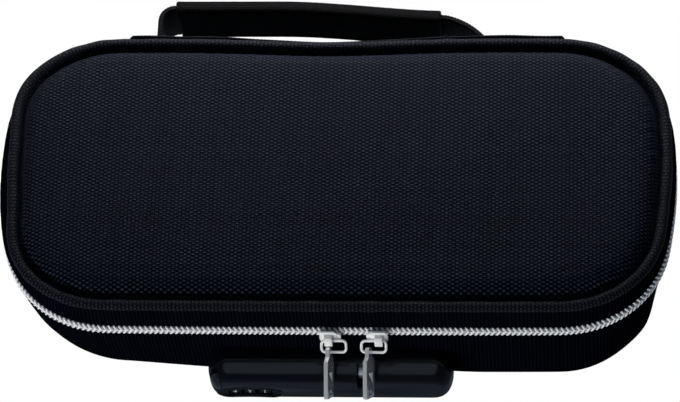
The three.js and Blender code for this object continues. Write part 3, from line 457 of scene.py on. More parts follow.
# %% Weave group
def weave_group():
    """Plain weave. Cell (i, j) of the cloth is weft over warp where i + j is odd. In a cell each
    thread is a rounded cushion, sin(pi x) to a power times sin(pi y) to a power. Height is 1 on
    the crown of a weft cushion and lower on a warp cushion. Over is that crown alone."""
    group, w, start, end = new_group(
        "weave",
        [("Vector", "NodeSocketVector", None), ("Column", "NodeSocketFloat", 0.143),
         ("Row", "NodeSocketFloat", 0.074), ("Sway", "NodeSocketFloat", 0.012),
         ("Rib", "NodeSocketFloat", 0.0)],
        [("Height", "NodeSocketFloat"), ("Over", "NodeSocketFloat"), ("Thread", "NodeSocketFloat")],
    )
    split = w.add("ShaderNodeSeparateXYZ")
    w.join(start.outputs["Vector"], split.inputs[0])
    sway_x = w.math("MULTIPLY", w.math("SUBTRACT", w.noise(start.outputs["Vector"], 0.9, 2.0), 0.5),
                    start.outputs["Sway"])
    sway_y = w.math("MULTIPLY", w.math("SUBTRACT", w.noise(start.outputs["Vector"], 1.3, 2.0), 0.5),
                    start.outputs["Sway"])
    x = w.math("DIVIDE", w.math("ADD", split.outputs[0], sway_x), start.outputs["Column"])
    y = w.math("DIVIDE", w.math("ADD", split.outputs[1], sway_y), start.outputs["Row"])
    column, row = w.math("FLOOR", x), w.math("FLOOR", y)
    across = w.math("SINE", w.math("MULTIPLY", w.math("FRACT", x), math.pi))
    along = w.math("SINE", w.math("MULTIPLY", w.math("FRACT", y), math.pi))
    cushion = w.math("MULTIPLY", w.math("POWER", across, 0.55), w.math("POWER", along, 0.6))
    odd = w.math("FLOORED_MODULO", w.math("ADD", column, row), 2.0)
    rib = w.math("POWER", w.math("ABSOLUTE", w.math("SINE", w.math("MULTIPLY", x, math.pi))), 1.2)
    flat = w.math("SUBTRACT", 1.0, start.outputs["Rib"])
    cloth = w.math("MULTIPLY", cushion, w.math("MULTIPLY_ADD", odd, 0.62, 0.38))
    ribbed = w.math("MULTIPLY", rib, start.outputs["Rib"])
    w.join(w.math("MULTIPLY_ADD", cloth, flat, ribbed), end.inputs["Height"])
    over = w.math("MULTIPLY", cushion, odd)
    w.join(w.math("MULTIPLY_ADD", over, flat, ribbed), end.inputs["Over"])
    tone = w.add("ShaderNodeTexWhiteNoise", noise_dimensions="1D")
    w.join(w.math("MULTIPLY_ADD", row, 0.37, w.math("MULTIPLY", odd, 11.3)), tone.inputs["W"])
    tone_x = w.add("ShaderNodeTexWhiteNoise", noise_dimensions="1D")
    w.join(w.math("MULTIPLY_ADD", column, 0.61, 3.7), tone_x.inputs["W"])
    w.join(w.math("MULTIPLY", w.math("ADD", tone.outputs[0], tone_x.outputs[0]), 0.5), end.inputs["Thread"])
    return group


# %% Stitch and wear groups
def stitch_group():
    """A row of stitches along U at the height At. Each stitch is a capsule: it shows where the
    distance from the row is under half its width and the place along its pitch is under Fill."""
    group, w, start, end = new_group(
        "stitches",
        [("Vector", "NodeSocketVector", None), ("At", "NodeSocketFloat", 0.0),
         ("Pitch", "NodeSocketFloat", 0.3), ("Width", "NodeSocketFloat", 0.06),
         ("Fill", "NodeSocketFloat", 0.78)],
        [("Stitch", "NodeSocketFloat"), ("Pull", "NodeSocketFloat")],
    )
    split = w.add("ShaderNodeSeparateXYZ")
    w.join(start.outputs["Vector"], split.inputs[0])
    off = w.math("ABSOLUTE", w.math("SUBTRACT", split.outputs[1], start.outputs["At"]))
    near = w.math("SUBTRACT", 1.0, w.math("DIVIDE", off, start.outputs["Width"]), clamp=True)
    place = w.math("FRACT", w.math("DIVIDE", split.outputs[0], start.outputs["Pitch"]))
    hump = w.math("SINE", w.math("MULTIPLY", w.math("DIVIDE", place, start.outputs["Fill"], clamp=True), math.pi))
    w.join(w.math("MULTIPLY", w.math("POWER", near, 0.5), w.math("POWER", w.math("MAXIMUM", hump, 0.0), 0.4)),
           end.inputs["Stitch"])
    w.join(w.math("SUBTRACT", 1.0, w.math("DIVIDE", off, w.math("MULTIPLY", start.outputs["Width"], 3.5)),
                  clamp=True), end.inputs["Pull"])
    return group


def wear_group():
    """Slow changes over a piece. Broad is cloudy at about 25 mm, Fine at about 2 mm, and Lint is
    a scatter of small light specks."""
    group, w, start, end = new_group(
        "wear",
        [("Vector", "NodeSocketVector", None)],
        [("Broad", "NodeSocketFloat"), ("Fine", "NodeSocketFloat"), ("Lint", "NodeSocketFloat")],
    )
    place = start.outputs["Vector"]
    w.join(w.ramp(w.noise(place, 40.0, 3.0), 0.3, 0.7), end.inputs["Broad"])
    w.join(w.noise(place, 520.0, 3.0, 0.6), end.inputs["Fine"])
    w.join(w.ramp(w.noise(place, 900.0, 1.0), 0.73, 0.82), end.inputs["Lint"])
    return group


weave_nodes, stitch_nodes, wear_nodes = weave_group(), stitch_group(), wear_group()
print("groups", [group.name for group in bpy.data.node_groups])


# %% Material makers
def new_material(name):
    """A material with its tree's wires and its shader."""
    material = bpy.data.materials.new(name)
    material.use_nodes = True
    w = Wires(material.node_tree)
    shader = material.node_tree.nodes["Principled BSDF"]
    return material, w, shader


def use_group(w, group, **values):
    """The group placed in a material, with its inputs set or linked."""
    made = w.add("ShaderNodeGroup", node_tree=group)
    for key, value in values.items():
        w.join(value, made.inputs[key])
    return made


def bump(w, height, distance):
    """A normal bent by a height, whose full range stands distance metres high."""
    made = w.add("ShaderNodeBump")
    made.inputs["Distance"].default_value = distance
    w.join(height, made.inputs["Height"])
    return made.outputs["Normal"]


def cloth_material(name, dark, light, column=0.143, row=0.074, depth=0.00022, rough=0.6, sheen=0.12,
                   stitches=(), sway=0.012, turned=False, rib=0.0, gleam=0.06):
    """Woven cloth: dark on the warp, with a painted highlight on the crowns of the weft and painted shade in the gaps
    between threads.
    """
    material, w, shader = new_material(name)
    uv = w.add("ShaderNodeUVMap", uv_map="cloth").outputs[0]
    place = w.add("ShaderNodeTexCoord").outputs["Object"]
    vector = uv
    if turned:
        split, swap = w.add("ShaderNodeSeparateXYZ"), w.add("ShaderNodeCombineXYZ")
        w.join(uv, split.inputs[0])
        w.join(split.outputs[1], swap.inputs[0])
        w.join(split.outputs[0], swap.inputs[1])
        vector = swap.outputs[0]
    weave = use_group(w, weave_nodes, Vector=vector, Column=column, Row=row, Sway=sway, Rib=rib)
    wear = use_group(w, wear_nodes, Vector=place)
    # Colour: lightest on each weft crown and falling to dark in the gaps, which is painted highlight and painted
    # shade on the threads. The warp stays dark, and the thread tone and the broad cloudiness vary at random.
    tone = w.math("MULTIPLY_ADD", weave.outputs["Thread"], 0.5, 0.75)
    amount = w.math("MULTIPLY", w.math("POWER", weave.outputs["Over"], 1.5), tone)
    amount = w.math("MULTIPLY", amount, w.math("MULTIPLY_ADD", wear.outputs["Broad"], 0.16, 0.92), clamp=True)
    colour = w.mix(amount, (*dark, 1.0), (*light, 1.0))
    lint = tuple(min(3.2 * v + 0.01, 1.0) for v in light)
    colour = w.mix(w.math("MULTIPLY", wear.outputs["Lint"], 0.25), colour, (*lint, 1.0))
    height = weave.outputs["Height"]
    for at in stitches:
        seam = use_group(w, stitch_nodes, Vector=uv, At=at)
        colour = w.mix(seam.outputs["Stitch"], colour, (*[1.25 * v for v in light], 1.0))
        height = w.math("ADD", height, w.math("MULTIPLY", seam.outputs["Stitch"], 2.2))
        height = w.math("SUBTRACT", height, w.math("MULTIPLY", seam.outputs["Pull"], 1.2))
    w.join(colour, shader.inputs["Base Color"])
    w.join(w.math("MULTIPLY_ADD", wear.outputs["Fine"], 0.16, rough - 0.08), shader.inputs["Roughness"])
    w.join(bump(w, height, depth), shader.inputs["Normal"])
    shader.inputs["Sheen Weight"].default_value = sheen
    shader.inputs["Sheen Roughness"].default_value = 0.45
    shader.inputs["Sheen Tint"].default_value = (0.72, 0.8, 1.0, 1.0)
    shader.inputs["Specular IOR Level"].default_value = gleam
    return material


def moulded_material(name, base, rough, grain=0.00002, coat=0.0, metallic=0.0, spread=0.08, scale=900.0, gleam=0.5):
    """Moulded or cast surface: fine grain in the bump, cloudy roughness and faint scratches."""
    material, w, shader = new_material(name)
    place = w.add("ShaderNodeTexCoord").outputs["Object"]
    wear = use_group(w, wear_nodes, Vector=place)
    grains = w.noise(place, scale, 3.0, 0.65)
    stretch = w.add("ShaderNodeVectorMath", operation="MULTIPLY")
    w.join(place, stretch.inputs[0])
    stretch.inputs[1].default_value = (150.0, 1800.0, 1500.0)
    scratch = w.ramp(w.noise(stretch.outputs[0], 1.0, 2.0, 0.7), 0.62, 0.72)
    light = tuple(min(v * 1.25 + 0.0015, 1.0) for v in base)
    w.join(w.mix(w.math("MULTIPLY", wear.outputs["Broad"], 0.4), (*base, 1.0), (*light, 1.0)),
           shader.inputs["Base Color"])
    level = w.math("MULTIPLY_ADD", wear.outputs["Broad"], spread, rough - spread / 2)
    w.join(w.math("MULTIPLY_ADD", scratch, spread, level), shader.inputs["Roughness"])
    w.join(bump(w, w.math("MULTIPLY_ADD", scratch, 0.3, grains), grain), shader.inputs["Normal"])
    shader.inputs["Metallic"].default_value = metallic
    shader.inputs["Specular IOR Level"].default_value = gleam
    shader.inputs["Coat Weight"].default_value = coat
    shader.inputs["Coat Roughness"].default_value = 0.08
    return material


# %% Finishes
panel_cloth = cloth_material("panel cloth", (0.0003, 0.0004, 0.0012), (0.022, 0.0275, 0.05), sheen=0.02, gleam=0.04)
# The wall cloth is a shaded copy of the panel cloth: its colours are painted about six times darker, as painted shade
# on the upright walls and on the floor sheet.
shade_painted_wall_cloth = cloth_material("wall cloth", (0.0002, 0.0002, 0.0006), (0.0036, 0.0043, 0.0084), sheen=0.0,
                            rib=0.55, gleam=0.0)
rim_cloth = cloth_material("rim cloth", (0.0004, 0.0005, 0.001), (0.020, 0.0215, 0.0295), depth=0.00016,
                           sheen=0.01, rib=0.5)
spine_cloth = cloth_material("spine cloth", (0.0003, 0.0004, 0.0008), (0.005, 0.006, 0.0102), sheen=0.01, rib=0.6)
webbing_cloth = cloth_material("webbing", (0.0006, 0.0006, 0.0009), (0.005, 0.005, 0.0066), column=0.134, row=0.11,
                               depth=0.0003, sheen=0.01)
tape_cloth = cloth_material("zip tape", (0.0006, 0.0006, 0.0012), (0.004, 0.004, 0.006), column=0.06, row=0.05,
                            depth=0.00008, sheen=0.01)
lining_cloth = cloth_material("lining", (0.002, 0.002, 0.0026), (0.009, 0.009, 0.0108), column=0.04, row=0.04,
                              depth=0.00005, sheen=0.05)
coil_silver = moulded_material("coil silver", (0.95, 0.95, 0.96), 0.3, 0.00003, metallic=0.25)
steel = moulded_material("pressed steel", (0.52, 0.52, 0.54), 0.34, 0.00001, metallic=1.0)
turned_brass = moulded_material("turned brass", (0.62, 0.44, 0.2), 0.3, 0.00001, metallic=1.0)
black_plastic = moulded_material("black plastic", (0.0012, 0.0016, 0.0034), 0.19, 0.000006, gleam=0.22)
gloss_plastic = moulded_material("gloss plastic", (0.0012, 0.0016, 0.0034), 0.14, 0.000004, coat=0.2, gleam=0.4)
print("materials", len(bpy.data.materials))

# %% [markdown]
# ## Lid panel
# The top is a padded sheet of cloth sewn in under the binding. Foam lifts it, so it rises steeply from
# the seam and then runs nearly flat, and fine gathers stand along the seam. It could be inflated as a
# cloth simulation; a height read from a profile gives the same form at once, the same in every run.

# %% Lid panel
rim_inset = 2.3
panel_inset = rim_inset + binding_radius * 0.6
panel_profile = np.array([
    (0.0, 54.2), (0.4, 53.2), (1.0, 52.7), (1.7, 53.2), (2.5, 54.9), (3.6, 56.8), (5.2, 58.1), (8.0, 59.0),
    (13.0, 59.6), (22.0, 60.0), (36.0, 60.4), (60.0, 60.5),
])


def panel_height(run_in):
    """The panel's height at a distance in from its seam: a valley, a shoulder and a flat crown.
    It is read from the profile's straight pieces and averaged over about a millimetre to round them."""
    offsets = np.linspace(-0.8, 0.8, 9)
    weights = np.exp(-(offsets / 0.45) ** 2)
    reads = [w * np.interp(np.abs(run_in + o), panel_profile[:, 0], panel_profile[:, 1])
             for o, w in zip(offsets, weights)]
    return sum(reads) / weights.sum()


def drawn_in(point):
    """How much further in than elsewhere the rim lies: in the middle of the ends, most at the
    left one, and a little behind the handle, where the patch sags."""
    ends = (2.4 - 1.2 * np.sign(point[:, 0])) * (1 - soft_step(np.abs(point[:, 1]), 8, 46))
    return ends + 1.1 * back_sag(point)


def back_sag(point):
    """1 at the middle of the back's hollow, falling to 0 at the ends and in front."""
    return bell(point[:, 0], -4.0, 36.0) * soft_step(point[:, 1], 20, 40)


def lid_panel():
    """A grid whose rows go round the outline and whose columns go in to the middle line."""
    lengths = around(0.9)
    point, normal = stations(lengths)
    edge = point - normal * (panel_inset + drawn_in(point))[:, None]
    t = np.concatenate([np.linspace(0, 0.13, 26)[:-1], np.linspace(0.13, 1.0, 56)])
    x, y = to_middle(edge, t)
    z = panel_height(t * (case_depth / 2 - panel_inset))[None, :] + 0 * x
    z = z - 1.3 * back_sag(point)[:, None] * (1 - soft_step(t, 0.02, 0.2))[None, :]
    gather = noise_row(len(lengths), (90, 170), 3)
    z = z + 0.14 * gather[:, None] * bell(t, 0.07, 0.05)[None, :]
    slow = 0.35 * np.sin(x / 31 + 0.6) * np.sin(y / 19 + 1.1) + 0.22 * np.sin(x / 17 - y / 23)
    z = z + slow * soft_step(t, 0.06, 0.35)[None, :]
    grid = np.stack([x, y, z], 2)
    uv = grid[..., :2].copy()
    piece = grid_object("panel_sheet", grid, uv, loop_u=True, material=panel_cloth, flip=True)
    lay_flat(piece, uv)
    return piece


panel_sheet = lid_panel()
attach(panel_sheet, "lid")
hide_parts("lid_panel")
panel_top = max(v.co.z for v in panel_sheet.data.vertices)
print("panel", len(panel_sheet.data.polygons), "faces, top", round(panel_top * 1000, 1))

# %% [markdown]
# ## Walls and binding
# A tape folded round a cord covers the seam of the panel, and two bands of ribbed cloth stand below it,
# one above the zip and one under it. Each is a section of [inset, height] pairs carried round the
# outline. The same change moves every neighbour at a seam, so that no gap opens between them.

# %% Rim binding
seam_z = 45.8


def sew(name, section, lengths, material, body, node, loop=True, change=None, flip=False, closed=False):
    """Carries a section round the outline, lets change move the grid, and hands it to the frame.
    closed closes the section on itself."""
    grid, uv = carry(section, lengths)
    if change is not None:
        grid = change(grid, uv)
    piece = grid_object(name, grid, uv, loop_u=loop, loop_v=closed, material=material, flip=flip,
                        wrap=girth if loop else None)
    if isinstance(body, str):
        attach(piece, body)
    if node:
        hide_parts(node)
    return piece


def ring_section(inset, z, radius_in, radius_up, steps=28):
    """A closed oval section, anticlockwise from the inner side."""
    a = 2 * math.pi * np.arange(steps) / steps
    return np.stack([inset + radius_in * np.cos(a), z + radius_up * np.sin(a)], 1)


def draw_in(grid, uv):
    """Moves the upper wall and the rim in by drawn_in, from nothing at the seam below it."""
    point, normal = stations(uv[:, 0, 0])
    share = soft_step(grid[..., 2], seam_z + 0.5, rim_foot - 0.5)
    out = grid.copy()
    out[..., :2] -= normal[:, None, :] * (drawn_in(point)[:, None] * share)[..., None]
    out[..., 2] -= 1.3 * back_sag(point)[:, None] * share
    return out


def rim_change(grid, uv):
    """The rim is drawn in as the wall below it is, and the cord in the binding is a little uneven."""
    grid = draw_in(grid, uv)
    n = grid_normals(grid, loop_u=True)
    swell = 0.07 * noise_row(grid.shape[0], (30, 80), 11)[:, None]
    return grid + n * swell[..., None]


rim_binding = sew("rim_binding", ring_section(rim_inset, rim_height + 0.1, 1.95, 2.0), around(0.8), rim_cloth,
                  "lid", "lid_binding", change=rim_change, closed=True)
print("binding", len(rim_binding.data.polygons), "faces")

# %% Lid wall
def lid_wall_section():
    """From the lining side of the hem round the fold and up the outside. A folded seam stands
    half a millimetre proud at the join between the zip band and the upper band."""
    outside = [
        (wall_inset + 1.0, lid_foot - 0.1), (wall_inset + 0.2, lid_foot - 0.35), (wall_inset - 0.25, lid_foot - 0.1),
        (wall_inset - 0.35, lid_foot + 0.5), (0.35, lid_foot + 2.5), (0.2, seam_z - 1.1), (0.25, seam_z - 0.25),
        (0.0, seam_z), (-0.05, seam_z + 0.35), (0.05, seam_z + 1.0), (0.25, seam_z + 2.2), (0.5, seam_z + 4.2),
        (0.9, rim_foot - 0.8), (1.6, rim_foot + 0.5), (2.6, rim_foot + 0.8),
    ]
    return refine(outside, 0.45)


def cloth_change(seed, amount):
    """A change for sew: the cloth moves along its normals by two noise rows, slow folds that fade
    at the hems and a fine ripple that is strongest half way up."""
    def change(grid, uv):
        """The moved grid. It doesn't depend on uv, which sew hands to every change."""
        n = grid_normals(grid, loop_u=True)
        rows, columns = grid.shape[:2]
        a = noise_row(rows, (6, 22), seed)[:, None] * np.sin(np.linspace(0.4, 2.7, columns))[None, :]
        b = noise_row(rows, (70, 150), seed + 1)[:, None] * np.sin(np.linspace(0, math.pi, columns))[None, :] ** 2
        return grid + n * (amount * 1.6 * a + amount * 0.35 * b)[..., None]
    return change


lid_wall_piece = sew("lid_gusset", lid_wall_section(), around(0.8), shade_painted_wall_cloth, "lid", "lid_wall",
                     change=lambda grid, uv: cloth_change(21, 0.08)(draw_in(grid, uv), uv), flip=True)
print("lid wall", len(lid_wall_piece.data.polygons), "faces")

# %% Base wall
gusset_seam_x = 84.0


def base_wall_section():
    """Down the outside from the fold at the zip to the seam with the floor."""
    outside = [
        (wall_inset + 1.0, base_top + 0.1), (wall_inset + 0.2, base_top + 0.35), (wall_inset - 0.25, base_top + 0.1),
        (wall_inset - 0.3, base_top - 0.6), (0.35, base_top - 3.0), (0.15, base_top - 7.0), (0.0, 16.0), (0.0, 10.0),
        (0.0, 6.4), (0.05, 4.4), (0.2, 3.5), (0.5, 3.1), (1.2, 2.9),
    ]
    return refine(outside, 0.6)


front_length = walked[np.argmin((plan[:, 0] - gusset_seam_x) ** 2 + (plan[:, 1] + case_depth / 2) ** 2)]


def taper(grid, uv):
    """The wall leans in towards the floor at the ends of the case and along its left half. The
    lean grows from nothing at the zip. It sets in sooner at the left corners than at the right."""
    point, normal = stations(uv[:, 0, 0])
    nx = normal[:, 0]
    x, y = point[:, 0], point[:, 1]
    front_share = np.where(normal[:, 1] < 0, 1.0, 0.3)
    left = 5.2 * soft_step(-nx, -0.1, 0.75) * soft_step(-x, 60, 92) - 0.9 * soft_step(-nx, 0.6, 1.0)
    left = left + 3.4 * soft_step(-x, 25, 92) * (1 - soft_step(np.abs(nx), 0.0, 0.85)) * front_share
    bulge = 0.7 * soft_step(x, 32, 56) * (1 - soft_step(np.abs(nx), 0.1, 0.7)) * front_share
    right = 1.5 * soft_step(nx, 0.0, 0.7) + 5.2 * soft_step(nx, 0.4, 1.0) * (1 - 0.85 * soft_step(np.abs(y), 20, 42))
    depth = np.clip((base_top - grid[..., 2]) / base_top, 0, 1)
    move = (left - bulge)[:, None] * depth ** 1.1 + right[:, None] * depth ** 0.7
    out = grid.copy()
    out[..., :2] -= normal[:, None, :] * move[..., None]
    return out


def base_change(grid, uv):
    """Soft unevenness, and the upright seam where the ends of the wall cloth meet in front."""
    grid = cloth_change(31, 0.1)(taper(grid, uv), uv)
    n = grid_normals(grid, loop_u=True)
    off = uv[..., 0] - front_length
    ridge = 0.42 * bell(off, 0.55, 0.55) - 0.3 * bell(off, -0.45, 0.4)
    return grid + n * ridge[..., None]


base_wall_piece = sew("base_gusset", base_wall_section(), around(0.8), shade_painted_wall_cloth, "base", "base_wall",
                      change=base_change)
print("base wall", len(base_wall_piece.data.polygons), "faces")

# %% Floor
def floor_piece():
    """The underside: a flat sheet whose edge rolls up to the wall."""
    levels = [(floor_inset - 0.2, 3.3), (floor_inset - 0.25, 2.6), (floor_inset - 0.05, 1.6),
              (floor_inset + 0.5, 0.75), (floor_inset + 1.2, 0.28), (floor_inset + 2.0, 0.06),
              (floor_inset + 3.2, 0.0)]
    lengths = around(1.2)
    rim, rim_uv = carry(refine(levels, 0.35), lengths)
    rim = taper(rim, rim_uv)
    edge = rim[:, -1]
    t = np.linspace(0, 1, 40)[1:]
    x, y = to_middle(edge, t)
    lift = 0.25 * soft_step(t, 0.1, 0.5)[None, :] * (1 + 0 * x)
    grid = np.concatenate([rim, np.stack([x, y, lift], 2)], 1)
    uv = grid[..., :2].copy()
    piece = grid_object("floor_sheet", grid, uv, loop_u=True, material=shade_painted_wall_cloth)
    lay_flat(piece, uv)
    return piece


floor_sheet = floor_piece()
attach(floor_sheet, "base")
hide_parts("base_floor")
print("floor", len(floor_sheet.data.polygons), "faces")

# %% [markdown]
# ## Zip
# A coil zip has no separate teeth. Each row is one wire wound as a flattened coil and sewn to its tape
# over a cord: the front legs lean one way in the base row and the other way in the lid row, so that
# the closed chain reads as a braid. One long tube for each row is lighter than hundreds of loops.

# %% Wire and cord maker
zip_start, zip_end = spine_left + seam_gap, girth - spine_right - seam_gap
tape_depth = 2.25


def tube(name, path, radius, sides=7, material=None, closed=False):
    """A round tube along a path. The ring's frame turns with the path as little as it can:
    each step's side vector is the last one less its part along the new tangent."""
    path = np.asarray(path, float)
    n = len(path)
    if closed:
        tangent = np.roll(path, -1, 0) - np.roll(path, 1, 0)
    else:
        tangent = np.gradient(path, axis=0)
    tangent /= np.linalg.norm(tangent, axis=1)[:, None]
    side = np.zeros_like(path)
    last = np.cross(tangent[0], [0.13, 0.21, 0.97])
    for i in range(n):
        last = last - tangent[i] * np.dot(last, tangent[i])
        last = last / np.linalg.norm(last)
        side[i] = last
    other = np.cross(tangent, side)
    a = 2 * math.pi * np.arange(sides) / sides
    ring = side[:, None, :] * np.cos(a)[None, :, None] + other[:, None, :] * np.sin(a)[None, :, None]
    grid = path[:, None, :] + ring * radius
    points = grid.reshape(-1, 3)
    rows = np.arange(n if closed else n - 1)
    I, J = [m.ravel() for m in np.meshgrid(rows, np.arange(sides), indexing="ij")]
    I1, J1 = (I + 1) % n, (J + 1) % sides
    faces = np.stack([I * sides + J, I * sides + J1, I1 * sides + J1, I1 * sides + J], 1).tolist()
    if not closed:
        faces.append(list(range(sides)))
        faces.append([(n - 1) * sides + k for k in range(sides)][::-1])
    return mesh_object(name, points, faces, None, True, material)


# %% Zip rows
def coil_path(shift, side):
    """The wire of one row. At angle a its height runs from root to head as (1 - cos a) / 2 and
    its depth as sin a, in front on the way to the head and behind on the way back. The loops
    lean along the row, so that the legs in front slant and those behind stand upright."""
    per_turn = 12
    turns = int((zip_end - zip_start - zip_pitch) / zip_pitch)
    a = 2 * math.pi * np.arange(turns * per_turn) / per_turn
    u = zip_start + shift + zip_pitch * a / (2 * math.pi)
    rise = (0.5 - 0.5 * np.cos(a)) ** 0.85
    lean = 0.62 * (rise - 0.5)
    height = zip_height + side * (2.36 - 2.5 * rise)
    depth = 0.48 - 0.6 * np.sign(np.sin(a)) * np.abs(np.sin(a)) ** 0.7
    point, normal = stations(u + lean)
    xy = point - normal * depth[:, None]
    return np.column_stack([xy, height])


def tape_piece(name, low, high, body):
    """A thin woven tape behind the coil, with a folded edge."""
    section = [(tape_depth, low), (tape_depth, high), (tape_depth + 0.2, high + 0.1), (tape_depth + 0.45, high),
               (tape_depth + 0.45, low)]
    return sew(name, refine(section, 0.5), between(zip_start, zip_end, 0.9), tape_cloth, body, None,
               loop=False, closed=False, flip=True)


base_tape = tape_piece("base_zip_tape", base_top - 3.6, zip_height - 0.5, "base")
lid_tape = tape_piece("lid_zip_tape", zip_height + 0.5, lid_foot + 3.6, "lid")
base_coil = tube("base_coil", coil_path(0.0, -1), 0.45, material=coil_silver)
lid_coil = tube("lid_coil", coil_path(zip_pitch / 2, 1), 0.45, material=coil_silver)
print("coil", len(base_coil.data.polygons), "faces a row, zip length", round(zip_end - zip_start, 1), "mm")

# %% Cords in the coils
thread_grey = moulded_material("zip thread", (0.2, 0.2, 0.21), 0.7, 0.00006)


def core_piece(name, side, body):
    """The cord that runs inside a coil, waving a little in depth with each loop."""
    lengths = between(zip_start + 0.6, zip_end - 0.6, 0.5)
    point, normal = stations(lengths)
    wave = 0.16 * np.sin(2 * math.pi * (lengths - zip_start) / zip_pitch)
    xy = point - normal * (0.55 + wave)[:, None]
    path = np.column_stack([xy, np.full(len(lengths), zip_height + side * 1.5)])
    core = tube(name, path, 0.7, 8, thread_grey)
    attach(core, body)
    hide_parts(body + "_zip_row")


core_piece("base_core", -1, "base")
core_piece("lid_core", 1, "lid")
for coil, tape, body in ((base_coil, base_tape, "base"), (lid_coil, lid_tape, "lid")):
    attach(coil, body)
    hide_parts(body + "_zip_row")
    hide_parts(body + "_zip_row")
print("zip rows on", [base_tape.name, lid_tape.name])

# %% [markdown]
# ## Spine patch
# One strip of ribbed cloth covers the back, where it is the hinge of the lid. Two pads under it show
# where the ends of the handle are sewn in. It is one surface across the joint, held fixed and tied to
# neither half, because two rigid halves would part or cut into each other when the lid opens.

# %% Spine patch
patch_face = case_depth / 2 + seam_gap + spine_thickness
handle_left, handle_right, handle_height = 73.0, 62.0, 18.0


def spine_piece():
    """A strip with folded edges. It stands off the wall by its thickness, falls back to the wall
    within a millimetre of its ends, and is ribbed across at the pitch of the weave."""
    lengths = np.concatenate([between(girth - spine_right, girth, 0.33)[:-1], girth + between(0, spine_left, 0.33)])
    inner, outer = -seam_gap, -seam_gap - spine_thickness
    low, high = spine_foot + foot_round, rim_height + 0.4
    section = [
        (wall_inset + inner + 0.5, low + 0.5), (wall_inset + inner + 0.1, low),
        (wall_inset + outer + 0.4, low - 0.15), (wall_inset + outer + 0.1, low + 0.4),
        (0.35 + outer, 10.0), (outer, 17.0), (outer, zip_height - 3),
        (outer + 0.15, zip_height), (outer, zip_height + 3), (outer, 45.0), (outer, 49.0), (outer, high - 1.2),
        (outer + 0.12, high - 0.4), (outer + 0.45, high), (inner - 0.3, high), (inner, high - 0.4),
        (inner, high - 3.0), (wall_inset + inner, high - 6.0),
    ]
    section = refine(section, 0.7)
    grid, uv = carry(section, lengths)
    point, normal = stations(lengths)
    from_start, to_end = lengths - lengths[0], lengths[-1] - lengths
    fold = soft_step(np.minimum(from_start, to_end), 0, 1.1)
    rib = 0.09 * (1 - np.abs(np.sin(math.pi * lengths / weave_column)) ** 1.5)
    rib = rib[:, None] * soft_step(section[:, 1], low, low + 2)[None, :]
    across = np.sin(np.linspace(0.2, 2.9, len(section)))
    slow = 0.22 * noise_row(len(lengths), (2, 7), 41, False)[:, None] * across[None, :]
    pad = np.zeros_like(slow)
    x = point[:, 0]
    for end_x, turn in ((-handle_left, 1), (handle_right, -1)):
        along = (x - end_x) * turn
        band = soft_step(along, -1.8, 0.6) * (1 - soft_step(along, 21, 24))
        up = soft_step(section[:, 1], 4.6, 6.6) * (1 - soft_step(section[:, 1], 29.6, 31.6))
        pad = pad + 0.75 * band[:, None] * up[None, :]
    sag = bell(x, -4.0, 36.0)[:, None] * soft_step(section[:, 1], 45, rim_height)[None, :]
    grid[..., 2] -= 3.2 * sag
    inset = inner + (section[:, 0][None, :] - inner - pad - slow - rib + 1.2 * sag) * fold[:, None]
    grid[..., :2] = point[:, None, :] - normal[:, None, :] * inset[..., None]
    return grid_object("spine_patch", grid, uv, material=spine_cloth, flip=True)


spine_patch = spine_piece()
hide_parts("spine_base", "spine_lid")
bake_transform(spine_patch)
print("spine", len(spine_patch.data.polygons), "faces")

# %% [markdown]
# ## Handle
# A strap of webbing on edge leaves the patch, bends, runs through a padded sleeve and comes back. Its
# middle line is drawn in plan, smoothed, and read by length. The webbing and the sleeve are both
# carried along it, so they stay together. The strap is held fixed, and the sleeve follows the handle.

# %% Handle
webbing_width, webbing_thickness = 25.0, 2.2
handle_reach, handle_bend = 26.4, 6.5
slack_start, slack_x, slack_y = 39.0, 8.0, 3.5
grip_start, grip_end = -66.4, 37.4


def handle_plan(step=0.5):
    """The middle line of the strap in plan, evenly spaced: out from the left end, round the
    bend, along the grip, which sags towards the case past its middle, and back to the wall."""
    back = patch_face + handle_reach
    inner = patch_face - 1.0
    parts = [np.array([[-handle_left, inner], [-handle_left, back - handle_bend]])]
    a = np.radians(np.linspace(180, 90, 25))[1:]
    parts.append(np.stack([-handle_left + handle_bend + handle_bend * np.cos(a),
                           back - handle_bend + handle_bend * np.sin(a)], 1))
    t = np.linspace(0, 1, 30)[:, None]
    corners = np.array([[slack_start, back], [handle_right - slack_x, back - slack_y],
                        [handle_right, patch_face + 4.5]])
    parts.append(corners[0] * (1 - t) ** 2 + corners[1] * 2 * t * (1 - t) + corners[2] * t ** 2)
    parts.append(np.array([[handle_right, inner]]))
    path = np.concatenate(parts)
    at = np.concatenate([[0], np.cumsum(np.linalg.norm(np.diff(path, axis=0), axis=1))])
    new = np.linspace(0, at[-1], int(at[-1] / step) + 1)
    out = np.stack([np.interp(new, at, path[:, k]) for k in (0, 1)], 1)
    kernel = np.exp(-(np.arange(-6, 7) / 3.0) ** 2)
    kernel /= kernel.sum()
    padded = np.pad(out, ((6, 6), (0, 0)), mode="edge")
    smooth = np.stack([np.convolve(padded[:, k], kernel, "valid") for k in (0, 1)], 1)
    smooth[0], smooth[-1] = out[0], out[-1]
    reach = soft_step(smooth[:, 1], patch_face, patch_face + 12)
    smooth[:, 1] -= 4.4 * soft_step(smooth[:, 0], -26, 44) * reach
    return smooth, new


